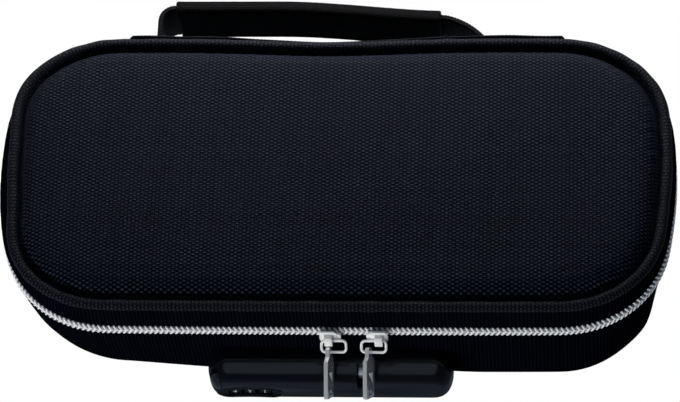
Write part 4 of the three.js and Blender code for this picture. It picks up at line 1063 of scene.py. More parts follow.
def rounded_box_section(width, height, corner, steps=5, side_steps=14):
    """A closed rounded rectangle of [across, up] pairs, with points along its long sides."""
    out = []
    for cx, cz, start in ((1, 1, 0), (-1, 1, 90), (-1, -1, 180), (1, -1, 270)):
        a = np.radians(start + 90 * np.arange(steps + 1) / steps)
        corner_points = np.stack([cx * (width / 2 - corner) + corner * np.cos(a),
                                  cz * (height / 2 - corner) + corner * np.sin(a)], 1)
        out.append(corner_points)
    points = np.concatenate(out)
    closed = np.vstack([points, points[:1]])
    at = section_lengths(closed)
    new = np.sort(np.concatenate([at[:-1], np.linspace(at[steps * 2 + 1], at[steps * 2 + 2], side_steps + 1)[1:-1],
                                  np.linspace(at[-2], at[-1], side_steps + 1)[1:-1]]))
    return np.stack([np.interp(new, at, closed[:, k]) for k in (0, 1)], 1)


# %% Strap
strap_path, strap_at = handle_plan()
strap_along = np.gradient(strap_path, axis=0)
strap_along /= np.linalg.norm(strap_along, axis=1)[:, None]
strap_lean = 0.1 * soft_step(strap_path[:, 1], patch_face + 1, patch_face + 14)


def along_handle(at, section, scale=None):
    """The section of [across, up] pairs carried along the strap at the given lengths, with its
    top edge leaning towards the case. scale holds a factor across and one up for each length."""
    path = np.stack([np.interp(at, strap_at, strap_path[:, k]) for k in (0, 1)], 1)
    tangent = np.stack([np.interp(at, strap_at, strap_along[:, k]) for k in (0, 1)], 1)
    lean = np.interp(at, strap_at, strap_lean)
    side = np.stack([-tangent[:, 1], tangent[:, 0]], 1)
    across = np.broadcast_to(section[None, :, 0], (len(at), len(section))).copy()
    up = np.broadcast_to(section[None, :, 1], across.shape).copy()
    if scale is not None:
        across *= scale[:, :1]
        up *= scale[:, 1:]
    across = across - up * lean[:, None]
    xy = path[:, None, :] + side[:, None, :] * across[..., None]
    lift = 0.8 * soft_step(path[:, 1], patch_face + 2, patch_face + 16)
    return np.concatenate([xy, (handle_height + lift[:, None] + up)[..., None]], 2)


def strap_piece():
    """The webbing: a flat section with round edges, whose selvedges are ribbed by the weave."""
    section = rounded_box_section(webbing_thickness, webbing_width, 0.85)
    grid = along_handle(strap_at, section)
    n = grid_normals(grid)
    rib = np.sin(2 * math.pi * strap_at / 1.34)[:, None] * soft_step(np.abs(section[:, 1]), 11.2, 12.4)[None, :]
    grid = grid + n * 0.13 * rib[..., None]
    v = section_lengths(section)
    uv = np.stack(np.broadcast_arrays(strap_at[:, None], v[None, :]), 2).copy()
    return grid_object("strap_webbing", grid, uv, loop_v=True, material=webbing_cloth)


strap_webbing = strap_piece()
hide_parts("handle_strap", "handle_stub_left", "handle_stub_right")
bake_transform(strap_webbing)
print("strap", len(strap_webbing.data.polygons), "faces, length", round(float(strap_at[-1]), 1), "mm")

# %% Grip sleeve
def sleeve_piece():
    """The padded sleeve: a folded cloth tube whose ends turn in, with sewn edges along its top
    and foot and soft creases across it."""
    on_grip = strap_at[(strap_path[:, 0] >= grip_start) & (strap_path[:, 0] <= grip_end)
                       & (strap_path[:, 1] > patch_face + 10)]
    first, last = on_grip[0], on_grip[-1]
    lip = np.array([2.6, 0.5, 0.0, 0.2, 0.7])
    lip_scale = np.array([[0.60, 0.93], [0.62, 0.935], [0.78, 0.96], [0.93, 0.99], [1.0, 1.0]])
    middle = np.arange(first + 1.2, last - 1.2, 0.5)
    at = np.concatenate([first + lip, middle, (last - lip)[::-1]])
    scale = np.vstack([lip_scale, np.ones((len(middle), 2)), lip_scale[::-1]])
    section = rounded_box_section(webbing_thickness + 3.4, webbing_width + 2.0, 2.4, steps=7, side_steps=18)
    section[:, 1] += 0.5
    grid = along_handle(at, section, scale)
    plain = along_handle(at, section)
    n = grid_normals(plain)
    n[:5], n[-5:] = n[5:6], n[-6:-5]
    up = section[:, 1]
    face = 1 - soft_step(np.abs(up), 10.2, 13.4)
    from_end = soft_step(np.minimum(at - first, last - at), 0.4, 5)
    from_end[:2], from_end[-2:] = 0, 0
    rows = len(at)
    crease = 0.26 * noise_row(rows, (2, 8), 51, False)[:, None] * np.cos(up / 7)[None, :]
    fine = 0.1 * noise_row(rows, (14, 34), 52, False)[:, None] * np.sin(up / 3.1 + 0.4)[None, :]
    sewn = -0.22 * bell(up, -10.8, 0.7)[None, :] - 0.2 * bell(up, 11.0, 0.6)[None, :]
    move = ((crease + fine + 0.4) * face[None, :] + sewn) * from_end[:, None]
    grid = grid + n * move[..., None]
    v = section_lengths(section)
    uv = np.stack(np.broadcast_arrays(at[:, None], v[None, :]), 2).copy()
    return grid_object("grip_sleeve", grid, uv, loop_v=True, material=grip_cloth)


grip_cloth = cloth_material("grip cloth", (0.0001, 0.0001, 0.0002), (0.0013, 0.0012, 0.0022), column=0.1, row=0.08,
                            depth=0.00014, rough=0.65, sheen=0.01)
grip_sleeve = sleeve_piece()
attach(grip_sleeve, "handle")
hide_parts("handle_grip")
print("sleeve", len(grip_sleeve.data.polygons), "faces")

# %% [markdown]
# ## Linings
# Each half has a thin tray of plain cloth sewn in under the zip. The photograph doesn't show it, so it
# is the plainest form that closes the inside. It is moved as the wall outside it is, by the same
# taper or draw-in, since a tray that kept the full outline would poke through the leaning ends.

# %% Linings
lining_thickness = 0.8
lining_outer = wall_inset + wall_thickness + seam_gap + wall_inset
lid_lining_outer = max(binding_inset - binding_radius + wall_thickness, wall_inset + wall_thickness) + seam_gap


def tray(name, levels, middle_z, body, node, flip):
    """A section of [inset, height] pairs carried round, closed by a sheet that runs in to the
    middle line and sags or lifts a little there."""
    lengths = around(1.4)
    rim, uv_rim = carry(refine(levels, 0.8), lengths)
    rim = (taper if body == "base" else draw_in)(rim, uv_rim)
    edge = rim[:, -1]
    t = np.linspace(0, 1, 34)[1:]
    x, y = to_middle(edge, t)
    z = edge[:, 2:3] + (middle_z - edge[:, 2:3]) * soft_step(t, 0, 0.6)[None, :]
    z = z + 0.18 * np.sin(x / 13 + 0.4) * np.cos(y / 11) * soft_step(t, 0.05, 0.3)[None, :]
    grid = np.concatenate([rim, np.stack([x, y, z], 2)], 1)
    run_in = uv_rim[:, -1:, 1] + np.cumsum(np.linalg.norm(np.diff(grid[:, rim.shape[1] - 1:], axis=1), axis=2), 1)
    u_in = np.broadcast_to(uv_rim[:, :1, 0], run_in.shape)
    uv = np.concatenate([uv_rim, np.stack([u_in, run_in], 2)], 1)
    piece = grid_object(name, grid, uv, loop_u=True, material=lining_cloth, flip=flip, wrap=girth)
    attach(piece, body)
    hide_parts(node)
    return piece


tray_top = base_top - 4 - 1.6
base_levels = [(lining_outer + 0.1, tray_top - 0.6), (lining_outer + 0.25, tray_top),
               (lining_outer + 0.7, tray_top), (lining_outer + 0.85, tray_top - 0.8),
               (lining_outer + 0.8, 14.0), (lining_outer + 0.9, 7.0),
               (lining_outer + 1.5, 4.6), (lining_outer + 2.8, 3.7), (lining_outer + 5.0, 3.5)]
tray_foot = lid_foot + 4 + 1.6
ceiling = rim_foot - seam_gap - lining_thickness
lid_levels = [(lid_lining_outer + 0.1, tray_foot + 0.6), (lid_lining_outer + 0.25, tray_foot),
              (lid_lining_outer + 0.7, tray_foot), (lid_lining_outer + 0.85, tray_foot + 0.8),
              (lid_lining_outer + 0.9, ceiling - 1.6), (lid_lining_outer + 1.6, ceiling - 0.5),
              (lid_lining_outer + 3.5, ceiling)]
base_tray = tray("base_tray", base_levels, 3.6, "base", "base_lining", False)
lid_tray = tray("lid_tray", lid_levels, ceiling, "lid", "lid_lining", True)
print("trays", len(base_tray.data.polygons), len(lid_tray.data.polygons))

# %% Hems
def seam_band(name, section, body):
    """The inner face of a wall above or below its tray, so that an open case shows cloth."""
    return sew(name, refine(section, 0.6), around(1.0), lining_cloth, body, None)


base_hem = seam_band("base_hem", [(wall_inset + 0.9, base_top + 0.1), (wall_inset + 1.0, base_top - 3.8),
                                  (wall_inset + wall_thickness, tray_top - 0.5),
                                  (lining_outer + 0.2, tray_top - 0.7)], "base")
lid_hem = seam_band("lid_hem", [(wall_inset + 0.9, lid_foot - 0.1), (wall_inset + 1.0, lid_foot + 3.8),
                                (wall_inset + wall_thickness, tray_foot + 0.5),
                                (lid_lining_outer + 0.2, tray_foot + 0.7)], "lid")
print("hems", len(base_hem.data.polygons), len(lid_hem.data.polygons))

# %% [markdown]
# ## Cast and moulded pieces
# The hard pieces start from copies of their CAD meshes or from finer forms of the same sizes. A real
# casting has no knife edge: a small radius on each edge catches a line of light. Their flat faces are
# merged first, so that the rounding runs evenly, and they are shaded smooth by angle.

# %% Hard piece helpers
def settle(obj):
    """The object's mesh with its modifiers applied."""
    bpy.context.view_layer.update()
    graph = bpy.context.evaluated_depsgraph_get()
    mesh = bpy.data.meshes.new_from_object(obj.evaluated_get(graph))
    old = obj.data
    obj.modifiers.clear()
    obj.data = mesh
    mesh.name = obj.name
    bpy.data.meshes.remove(old)
    return obj


def round_edges(obj, width, segments=2, angle=30.0, smooth_angle=38.0):
    """Edges sharper than the angle get a radius of the width in millimetres."""
    bevel = obj.modifiers.new("round", "BEVEL")
    bevel.width = width * MM
    bevel.segments = segments
    bevel.limit_method = "ANGLE"
    bevel.angle_limit = math.radians(angle)
    bevel.use_clamp_overlap = True
    bevel.miter_outer = "MITER_ARC"
    settle(obj)
    obj.data.shade_smooth()
    obj.data.set_sharp_from_angle(angle=math.radians(smooth_angle))
    return obj


def merge_flats(obj, degrees=1.5, weld=0.002):
    """Coplanar triangles become one face, so that edges can be rounded evenly."""
    work = bmesh.new()
    work.from_mesh(obj.data)
    bmesh.ops.remove_doubles(work, verts=work.verts, dist=weld * MM)
    bmesh.ops.dissolve_limit(work, angle_limit=math.radians(degrees), verts=work.verts, edges=work.edges,
                             use_dissolve_boundaries=False)
    work.to_mesh(obj.data)
    work.free()
    obj.data.update()


def cad_copy(node, name, material, body, width=0.2, segments=2, angle=30.0):
    """A rounded copy of a CAD node in its own material, which stands for the node."""
    source = nodes[node]
    mesh = source.data.copy()
    piece = bpy.data.objects.new(name, mesh)
    scene.collection.objects.link(piece)
    piece.matrix_world = source.matrix_world.copy()
    mesh.transform(piece.matrix_world)
    piece.matrix_world = Matrix.Identity(4)
    mesh.materials.clear()
    mesh.materials.append(material)
    merge_flats(piece)
    if width:
        round_edges(piece, width, segments, angle)
    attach(piece, body)
    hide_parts(node)
    return piece


def box_object(name, low, high):
    """A box between two corners in millimetres."""
    (x0, y0, z0), (x1, y1, z1) = low, high
    points = [(x, y, z) for x in (x0, x1) for y in (y0, y1) for z in (z0, z1)]
    faces = [(0, 1, 3, 2), (4, 6, 7, 5), (0, 4, 5, 1), (2, 3, 7, 6), (0, 2, 6, 4), (1, 5, 7, 3)]
    return mesh_object(name, points, faces, smooth=False)


def carve(obj, tool, operation="DIFFERENCE"):
    """One solid cut from, joined to or kept within another, and the tool removed."""
    boolean = obj.modifiers.new("cut", "BOOLEAN")
    boolean.operation = operation
    boolean.solver = "EXACT"
    boolean.object = tool
    settle(obj)
    bpy.data.objects.remove(tool)
    return obj


print("CAD nodes to draw from", len(nodes))

# %% [markdown]
# ## Sliders, rings and pulls
# Each slider carries a wire ring and each ring a flat tab. The wire is drawn new, because a bent wire
# has a round section that the CAD mesh only hints at. The other two are rounded copies. The tabs hang
# loosely, so they are turned a little about their length, as in the photograph.

# %% Rings
ring_long, ring_drop, ring_bar, ring_corner, ring_wire = 10.4, 6.0, 1.3, 1.5, 0.52
slider_steel = moulded_material("slider plating", (0.96, 0.95, 0.93), 0.22, 0.000006, metallic=0.25, spread=0.05)


def ring_piece(side):
    """The wire of a ring, drawn in the plane of its CAD mesh. The plane's normal and the ring's middle
    come from the CAD ring's points; the ring runs along X and its sizes are the given constants."""
    source = nodes["ring_" + side]
    points = np.array([source.matrix_world @ v.co for v in source.data.vertices]) / MM
    middle = (points.min(0) + points.max(0)) / 2
    _, _, axes = np.linalg.svd(points - points.mean(0))
    along = np.array([1.0, 0.0, 0.0])
    normal = axes[2] / np.linalg.norm(axes[2])
    down = np.cross(normal, along)
    down *= -np.sign(down[2])
    half_long = (ring_long - ring_bar) / 2
    half_drop = (ring_drop - ring_bar) / 2
    path = []
    for sx, sd, start in ((1, 1, 0), (-1, 1, 90), (-1, -1, 180), (1, -1, 270)):
        a = np.radians(start + 90 * np.arange(13) / 12)
        path.append(np.stack([sx * (half_long - ring_corner) + ring_corner * np.cos(a),
                              sd * (half_drop - ring_corner) + ring_corner * np.sin(a)], 1))
    path = np.concatenate(path)
    path = middle + path[:, :1] * along + path[:, 1:] * down
    wire = tube("ring_wire_" + side, path, ring_wire, 16, slider_steel, closed=True)
    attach(wire, "ring_" + side)
    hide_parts("ring_" + side)
    return wire


# %% Sliders and pulls
pull_twist = {"left": -26.0, "right": -31.0}
pull_shorten, pull_thin = 0.93, 0.75


def twist(piece, degrees):
    """Turns a tab about its own long line, as it hangs loosely on its ring, and makes it a
    little thinner, and shorter below its eye, as in the photograph."""
    points = np.array([v.co for v in piece.data.vertices])
    middle = points.mean(0)
    _, _, axes = np.linalg.svd(points - middle)
    axis = Vector(axes[0] if axes[0][2] > 0 else -axes[0])
    rotation = Matrix.Rotation(math.radians(degrees), 4, axis)
    turn = Matrix.Translation(middle) @ rotation @ Matrix.Translation(-middle)
    top = middle + np.array(axis) * float(((points - middle) @ np.array(axis)).max())
    shrink = Matrix.Translation(top) @ Matrix.Scale(pull_shorten, 4, axis) @ Matrix.Translation(-top)
    across = (turn.to_3x3() @ Vector(axes[2])).normalized()
    thin = Matrix.Translation(middle) @ Matrix.Scale(pull_thin, 4, across) @ Matrix.Translation(-middle)
    piece.data.transform(shrink @ thin @ turn)


pull_plating = moulded_material("pull plating", (0.94, 0.93, 0.91), 0.12, 0.000006, metallic=0.72, spread=0.05)
for side in ("left", "right"):
    cad_copy("slider_" + side, "slider_body_" + side, slider_steel, "slider_" + side, 0.22, 3)
    ring_piece(side)
    tab = cad_copy("pull_" + side, "pull_tab_" + side, pull_plating, "pull_" + side, 0.2, 3, 35)
    twist(tab, pull_twist[side])
drawn = [o for o in bpy.data.objects if o.name.startswith(("slider_body", "pull_tab"))]
print("faces", {o.name: len(o.data.polygons) for o in drawn})

# %% [markdown]
# ## Lock
# The housing is one hollow moulding with a rolled front edge, which a plain rounded box doesn't give:
# the edge here is a quarter ellipse. Its dish, slots, window and button room are cut as in the CAD
# model, and every cut edge is rounded. The photograph shows a dark dish with a bright rim and little
# of what is in it, so the window, the dials and the button are a plain guess at such a lock.

# %% Lock sizes
lock_x, lock_foot = -2.0, 1.5
lock_y = -case_depth / 2 + wall_outer - seam_gap
lock_length, lock_height, lock_depth, lock_corner, lock_edge, lock_wall = 92.0, 21.0, 12.6, 8.0, 4.2, 1.8
lock_middle, lock_front, lock_end = lock_height / 2, -lock_depth, lock_length / 2
lock_reach = 8.2
button_width, button_low, button_high, button_depth, lock_clearance = 5.0, 10.8, 19.0, 3.2, 0.4
button_travel = 2.0
dish_x, dish_z = -lock_end + 15.5, 6.8
dish_length, dish_height, dish_depth = 25.0, 9.6, 1.7
dial_z, dial_pitch, dial_width, dial_radius, dial_recess = 7.0, 5.6, 4.6, 5.0, 0.6
dial_y = lock_front + dial_recess + dial_radius
slot_middle_x, slot_pitch, slot_width, slot_depth, slot_reach = 3.5, 12.6, 3.0, 10.0, 6.5
through = 2.0
print("lock", lock_length, "x", lock_height, "x", lock_depth, "mm, dial axis at depth", round(dial_y, 2))

# %% Lock solids
def in_lock(points):
    """Points of the lock's own frame, placed on the case."""
    return np.asarray(points, float) + [lock_x, lock_y, lock_foot]


def rolled_block(name, length, height, back, front, corner, edge, corner_cuts=12, edge_cuts=12, reach=None):
    """A block with round corners across X and Z whose front edge is a quarter ellipse. At angle
    a of the edge the ring is inset by edge (1 - cos a) and stands at front + reach (1 - sin a)."""
    reach = reach or edge

    def ring(long, high, radius, y):
        """A rounded rectangle across X and Z at depth y: four quarter circles of the radius."""
        out = []
        for sx, sz, start in ((1, 1, 0), (-1, 1, 90), (-1, -1, 180), (1, -1, 270)):
            a = np.radians(start + 90 * np.arange(corner_cuts + 1) / corner_cuts)
            out.append(np.stack([sx * (long / 2 - radius) + radius * np.cos(a), np.full(len(a), y),
                                 lock_middle + sz * (high / 2 - radius) + radius * np.sin(a)], 1))
        return np.concatenate(out)
    rings = [ring(length, height, corner, back)]
    for a in np.radians(90 * np.arange(edge_cuts + 1) / edge_cuts):
        inset = edge * (1 - math.cos(a))
        rings.append(ring(length - inset * 2, height - inset * 2, corner - inset, front + reach * (1 - math.sin(a))))
    count = len(rings[0])
    faces = band_faces(len(rings), count)
    faces.append(list(range(count))[::-1])
    faces.append([(len(rings) - 1) * count + j for j in range(count)])
    return mesh_object(name, in_lock(np.concatenate(rings)), faces)


def bowl(name, x, z, length, height, depth):
    """A squashed ball, centred on the front face, that cuts the oval dish."""
    rows, columns = 28, 64
    u = np.linspace(0, math.pi, rows + 1)[1:-1]
    v = 2 * math.pi * np.arange(columns) / columns
    U, V = np.meshgrid(u, v, indexing="ij")
    points = np.stack([x + length / 2 * np.sin(U) * np.cos(V), lock_front + depth * np.cos(U),
                       z + height / 2 * np.sin(U) * np.sin(V)], 2).reshape(-1, 3)
    points = np.vstack([points, [x, lock_front + depth, z], [x, lock_front - depth, z]])
    faces = band_faces(rows - 1, columns)
    top, foot = len(points) - 2, len(points) - 1
    last = (rows - 2) * columns
    for j in range(columns):
        k = (j + 1) % columns
        faces.append((top, k, j))
        faces.append((foot, last + j, last + k))
    return mesh_object(name, in_lock(points), faces)


def lock_box(name, low, high):
    """A box between two corners of the lock's own frame."""
    return box_object(name, in_lock([low])[0], in_lock([high])[0])


def make_normals_out(obj):
    """Turns every face of a closed mesh outwards."""
    work = bmesh.new()
    work.from_mesh(obj.data)
    bmesh.ops.recalc_face_normals(work, faces=work.faces)
    work.to_mesh(obj.data)
    work.free()
    return obj


def button_room(play, depth):
    """The box at the lock's end that holds the button, larger than it by the play."""
    return lock_box("room", (-lock_end - through, lock_front - through, button_low - play),
                    (-lock_end + button_width + play, lock_front + depth, button_high + play))


# %% Housing and button
housing = make_normals_out(rolled_block("lock_shell", lock_length, lock_height, 0, lock_front, lock_corner, lock_edge,
                                        16, 24, lock_reach))
cavity = make_normals_out(rolled_block("cavity", lock_length - 2 * lock_wall, lock_height - 2 * lock_wall, through,
                                       lock_front + lock_wall, lock_corner - lock_wall, lock_edge - lock_wall, 6, 6))
button = make_normals_out(rolled_block("button_cap", lock_length, lock_height, 0, lock_front, lock_corner, lock_edge,
                                       16, 24, lock_reach))
carve(housing, cavity)
carve(housing, make_normals_out(bowl("bowl", dish_x, dish_z, dish_length, dish_height, dish_depth)))
window_reach = dial_pitch + dial_width / 2 + lock_clearance
window_half = math.sqrt(dial_radius ** 2 - (dial_y - lock_front - lock_wall) ** 2) + seam_gap
carve(housing, lock_box("window", (dish_x - window_reach, lock_front - through, dial_z - window_half),
                        (dish_x + window_reach, lock_front + lock_wall + through, dial_z + window_half)))
for side in (-1, 1):
    x = slot_middle_x - lock_x + side * slot_pitch / 2
    carve(housing, lock_box("slot", (x - slot_width / 2, lock_front - through, lock_height - slot_depth),
                            (x + slot_width / 2, lock_front + slot_reach, lock_height + through)))
carve(housing, button_room(lock_clearance * 0.6, button_depth + button_travel + lock_clearance))
carve(button, button_room(0, button_depth), "INTERSECT")
for piece, body, node, slot_name, material in (
    (housing, "base", "lock_housing", "black_plastic", black_plastic),
    (button, "release", "release_button", "gloss_plastic", gloss_plastic),
):
    piece.data.materials.clear()
    piece.data.materials.append(material)
    merge_flats(piece, 0.5, 0.004)
    round_edges(piece, 0.28, 3, 32, 40)
    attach(piece, body)
    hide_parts(node)
print("housing", len(housing.data.polygons), "button", len(button.data.polygons))

# %% Dish rim
def shell_face(x, z):
    """How far the shell's surface lies behind its front plane at a point: the point's distance
    in from the rounded outline, read on the quarter ellipse of the edge."""
    dx = np.abs(x) - (lock_length / 2 - lock_corner)
    dz = np.abs(z - lock_middle) - (lock_height / 2 - lock_corner)
    out = np.hypot(np.maximum(dx, 0), np.maximum(dz, 0)) + np.minimum(np.maximum(dx, dz), 0)
    c = 1 - np.clip((lock_corner - out) / lock_edge, 0, 1)
    return lock_reach * (1 - np.sqrt(1 - c ** 2))


def dish_edge(count=96):
    """Where the bowl meets the shell: along each spoke, the outermost share r of the oval at
    which the bowl, depth times the root of 1 - r squared, is as deep as the shell's face."""
    turn = 2 * math.pi * np.arange(count) / count
    r = np.linspace(1, 0, 400)[:, None]
    x = dish_x + dish_length / 2 * r * np.cos(turn)
    z = dish_z + dish_height / 2 * r * np.sin(turn)
    back = shell_face(x, z)
    first = (dish_depth * np.sqrt(1 - r ** 2) >= back - 1e-6).argmax(0)
    pick = np.arange(count)
    return np.stack([x[first, pick], lock_front + back[first, pick] + 0.06, z[first, pick]], 1)


dish_lip = tube("dish_lip", in_lock(smooth_loop(dish_edge(), 3)), 0.32, 12, gloss_plastic, closed=True)
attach(dish_lip, "base")
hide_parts("lock_housing")
print("dish rim", len(dish_lip.data.polygons), "faces")

# %% [markdown]
# ## Dials
# Three wheels turn on one shaft. A wheel is a profile of radii turned about its axis, and the radius
# waves with the angle to give the knurled rims and the ten flats. The numerals are generic. Each is
# laid round its wheel by reading its height as an angle, which keeps it at one depth in the paint.

# %% Wheels
ivory_paint = moulded_material("numeral paint", (0.42, 0.42, 0.40), 0.5, 0.00001)


def dial_piece(name, centre_x, shift):
    """A wheel whose rims are knurled and whose middle has ten flats, one for each numeral."""
    columns = 240
    a = 2 * math.pi * np.arange(columns) / columns
    half = dial_width / 2
    x = np.array([-half, -half + 0.02, -half + 0.25, -half + 0.9, -half + 1.0, 0,
                  half - 1.0, half - 0.9, half - 0.25, half - 0.02, half])
    knurl = dial_radius - 0.32 * (0.5 + 0.5 * np.cos(30 * a)) ** 2
    flats = dial_radius - 0.34 + 0.12 * np.cos(10 * (a - math.pi / 10))
    inner = np.full(columns, 2.8)
    radii = [inner, knurl - 0.35, knurl, knurl, flats, flats, flats, knurl, knurl, knurl - 0.35, inner]
    rings = [np.stack([np.full(columns, centre_x + dx), dial_y + r * -np.cos(a + shift),
                       dial_z + r * np.sin(a + shift)], 1) for dx, r in zip(x, radii)]
    grid = in_lock(np.concatenate(rings)).reshape(len(x), columns, 3)
    uv = np.zeros((len(x), columns, 2))
    wheel = grid_object(name, grid, uv, loop_v=True, material=black_plastic)
    wheel.data.set_sharp_from_angle(angle=math.radians(35))
    return make_normals_out(wheel)


def numeral(text, centre_x, angle, size=2.9):
    """A numeral wrapped round the wheel: its height in the plane becomes an angle about X."""
    curve = bpy.data.curves.new("numeral", "FONT")
    curve.body = text
    curve.size = size
    curve.align_x, curve.align_y = "CENTER", "CENTER"
    curve.extrude = 0.04
    holder = bpy.data.objects.new("numeral", curve)
    scene.collection.objects.link(holder)
    bpy.context.view_layer.update()
    mesh = bpy.data.meshes.new_from_object(holder.evaluated_get(bpy.context.evaluated_depsgraph_get()))
    points = np.array([v.co[:] for v in mesh.vertices])
    faces = [tuple(p.vertices) for p in mesh.polygons]
    bpy.data.objects.remove(holder)
    bpy.data.meshes.remove(mesh)
    turn = points[:, 1] / dial_radius + angle
    r = dial_radius - 0.2 + points[:, 2]
    return np.stack([centre_x + points[:, 0], dial_y - r * np.cos(turn), dial_z + r * np.sin(turn)], 1), faces


# %% Numbered dials
first_numbers = (4, 7, 1)
for i in range(3):
    x = dish_x + (i - 1) * dial_pitch
    shift = 0.03 * (i - 1)
    wheel = dial_piece(f"dial_wheel_{i + 1}", x, shift)
    points, faces, start = [], [], 0
    for k in range(10):
        p, f = numeral(str((k + first_numbers[i]) % 10), x, shift + 2 * math.pi * k / 10)
        points.append(p)
        faces += [tuple(v + start for v in face) for face in f]
        start += len(p)
    digits = mesh_object(f"dial_numerals_{i + 1}", in_lock(np.concatenate(points)), faces, smooth=False,
                         material=ivory_paint)
    body = f"dial_{i + 1}"
    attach(wheel, body)
    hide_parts(body)
    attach(digits, body)
    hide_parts(body)
    cad_copy(f"dial_bush_{i + 1}", f"bush_{i + 1}", turned_brass, body, 0.12, 2, 40)
print("numerals on a dial", len(digits.data.polygons), "faces")

# %% [markdown]
# ## Works and inside of the lock
# These are hidden when the lock is shut in the case, and none shows in the photograph. They are the CAD
# pieces in plain steel and brass with their edges rounded, which is enough for a view from inside.

# %% Works
cad_copy("lock_chassis", "chassis_plate", steel, "base", 0.15, 2)
cad_copy("dial_shaft", "shaft_pin", steel, "base", 0.2, 2, 40)
cad_copy("detent_spring", "detent_leaf", steel, "base", 0.06, 1)
cad_copy("button_spring", "spring_coil", steel, "base", 0)
cad_copy("latch_bar", "latch_slide_bar", steel, "latch", 0.15, 2)
cad_copy("lock_back_plate", "back_plate", steel, "base", 0.25, 3)
cad_copy("reset_button", "reset_cap", black_plastic, "reset", 0.35, 3, 40)
print("works and button caps drawn")

# %% Screws
def cross_screw(index):
    """A pan screw with a cross recess cut into its head."""
    node = f"lock_screw_{index}"
    screw = cad_copy(node, f"cross_screw_{index}", steel, "base", 0)
    low, high = [np.array(c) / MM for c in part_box(node)]
    cx, cz = (low[0] + high[0]) / 2, (low[2] + high[2]) / 2
    for wide, tall in ((1.3, 0.32), (0.32, 1.3)):
        carve(screw, box_object("cross", (cx - wide, high[1] - 0.8, cz - tall), (cx + wide, high[1] + 1, cz + tall)))
    merge_flats(screw)
    return round_edges(screw, 0.16, 2, 40)


for index in range(1, 5):
    cross_screw(index)

# %% [markdown]
# ## Cut sizes
# Each band, sheet and lining was flat cloth before it was sewn. A cut's area is worked out from the
# case's outline and the section of the band, and not from the finished mesh, so that the finished piece
# can be checked against it. A band is a plain strip as long as the outline. A floor or a lining is the
# outline drawn in by its inset, with the band that turns up round it. The allowances added to the
# floor and the linings, and the patch's width, are guesses: a finished case doesn't show its cuts.

# %% Cut sizes
def outline_area(inset):
    """Area of the outline drawn in by inset, in square millimetres. Half the sum of the cross
    products of neighbouring points gives the area A of the full outline, and an outline of girth g
    drawn in by d holds about A - g d + pi d squared."""
    x, y = plan[:, 0], plan[:, 1]
    full = abs(np.sum(x * np.roll(y, -1) - y * np.roll(x, -1))) / 2
    return full - girth * inset + np.pi * inset ** 2


def cut(piece, width, length, area=None):
    """Prints a sheet's cut size and area. width and length are in millimetres, area in square millimetres."""
    flat_area = (area or width * length) / 100
    print(piece.name, "cut", round(width), "x", round(length), "mm,", round(flat_area), "square cm")


def dish_area(levels):
    """A sheet with a band that turns up round it: the drawn-in outline and girth times the band."""
    section = np.array(levels, float)
    return outline_area(section[-1, 0]) + girth * section_lengths(section)[-1]


floor_allowance, base_tray_allowance, lid_tray_allowance, patch_width = 6, 60, 30, 60.0
cut(lid_wall_piece, section_lengths(lid_wall_section())[-1], girth)
cut(base_wall_piece, section_lengths(base_wall_section())[-1], girth)
cut(floor_sheet, case_depth + floor_allowance, case_length + floor_allowance,
    outline_area(0.0))
cut(base_tray, case_depth + base_tray_allowance, case_length + base_tray_allowance,
    dish_area(base_levels))
cut(lid_tray, case_depth + lid_tray_allowance, case_length + lid_tray_allowance,
    dish_area(lid_levels))
cut(spine_patch, patch_width, spine_left + spine_right)

# %% [markdown]
# ## Floor and lights
# The floor and the world are plain white to the camera. What lights the cloth is three broad soft
# lamps. Gloss sees something else than the camera does: a dark sky that is bright only overhead, chosen
# for the dark cloth and the bands of light on the lock. Under another sky its gloss will differ.

# %% Studio
floor_grey, floor_in_gloss, sky_tint = (0.6, 0.6, 0.6, 1.0), (0.42, 0.48, 0.58, 1.0), (0.72, 0.84, 1.0, 1.0)
white = (1.0, 1.0, 1.0, 1.0)


def soft_light(name, place, aim, size, power):
    """A rectangular lamp at a place in metres, turned to its aim. The camera doesn't see it."""
    data = bpy.data.lights.new(name, "AREA")
    data.shape = "RECTANGLE"
    data.size, data.size_y = size
    data.energy = power
    lamp = bpy.data.objects.new(name, data)
    scene.collection.objects.link(lamp)
    lamp.location = place
    lamp.visible_camera = False
    lamp.rotation_euler = (Vector(aim) - Vector(place)).to_track_quat("-Z", "Y").to_euler()
    return lamp


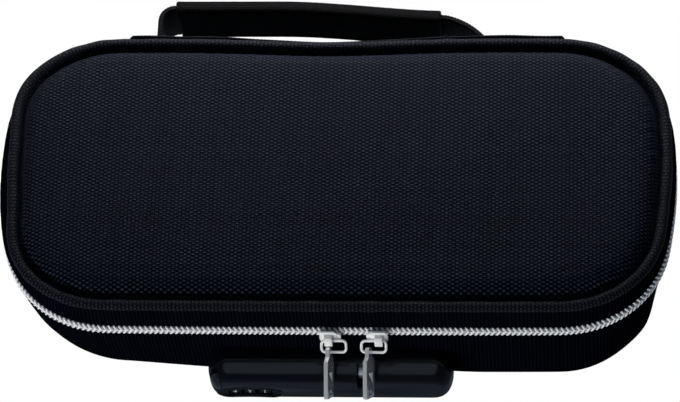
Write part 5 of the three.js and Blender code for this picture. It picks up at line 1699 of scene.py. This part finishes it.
def studio():
    """A pale floor and a world that the camera sees as plain white, and three soft lamps."""
    bpy.ops.mesh.primitive_plane_add(size=6.0, location=(0, 0, 0))
    ground = bpy.context.object
    ground.name = "ground"
    material, w, shader = new_material("ground")
    shader.inputs["Roughness"].default_value = 0.9
    glow = w.add("ShaderNodeEmission")
    glow.inputs["Color"].default_value = white
    path = w.add("ShaderNodeLightPath")
    w.join(w.mix(path.outputs["Is Glossy Ray"], floor_grey, floor_in_gloss), shader.inputs["Base Color"])
    blend = w.add("ShaderNodeMixShader")
    w.join(path.outputs["Is Camera Ray"], blend.inputs[0])
    w.join(shader.outputs[0], blend.inputs[1])
    w.join(glow.outputs[0], blend.inputs[2])
    out = material.node_tree.nodes["Material Output"]
    w.join(blend.outputs[0], out.inputs["Surface"])
    ground.data.materials.append(material)
    ground.location.z = -0.0005

    world = bpy.data.worlds.new("studio")
    world.use_nodes = True
    w = Wires(world.node_tree)
    back = world.node_tree.nodes["Background"]
    path = w.add("ShaderNodeLightPath")
    spread = w.add("ShaderNodeSeparateXYZ")
    w.join(w.add("ShaderNodeTexCoord").outputs["Generated"], spread.inputs[0])
    above = w.ramp(spread.outputs[2], 0.83, 0.97)
    mirrored = w.math("MULTIPLY", w.math("MULTIPLY_ADD", above, 2.3, 0.015), path.outputs["Is Glossy Ray"])
    seen = w.math("ADD", w.math("ADD", 0.12, mirrored), path.outputs["Is Camera Ray"], clamp=True)
    tone = w.mix(path.outputs["Is Camera Ray"], sky_tint, white)
    w.join(tone, back.inputs["Color"])
    w.join(seen, back.inputs["Strength"])
    scene.world = world

    soft_light("back light", (0.0, 0.15, 0.115), (0, 0.0, 0.055), (0.34, 0.05), 0.62)
    soft_light("top light", (0.1, 0.4, 1.2), (0, 0, 0.03), (1.2, 0.6), 0.7)
    front = soft_light("front light", (-0.5, -0.9, 0.22), (0, 0, 0.03), (0.8, 0.2), 9.5)
    front.visible_glossy = False


studio()
scene.view_settings.view_transform = "Standard"
scene.view_settings.look = "None"
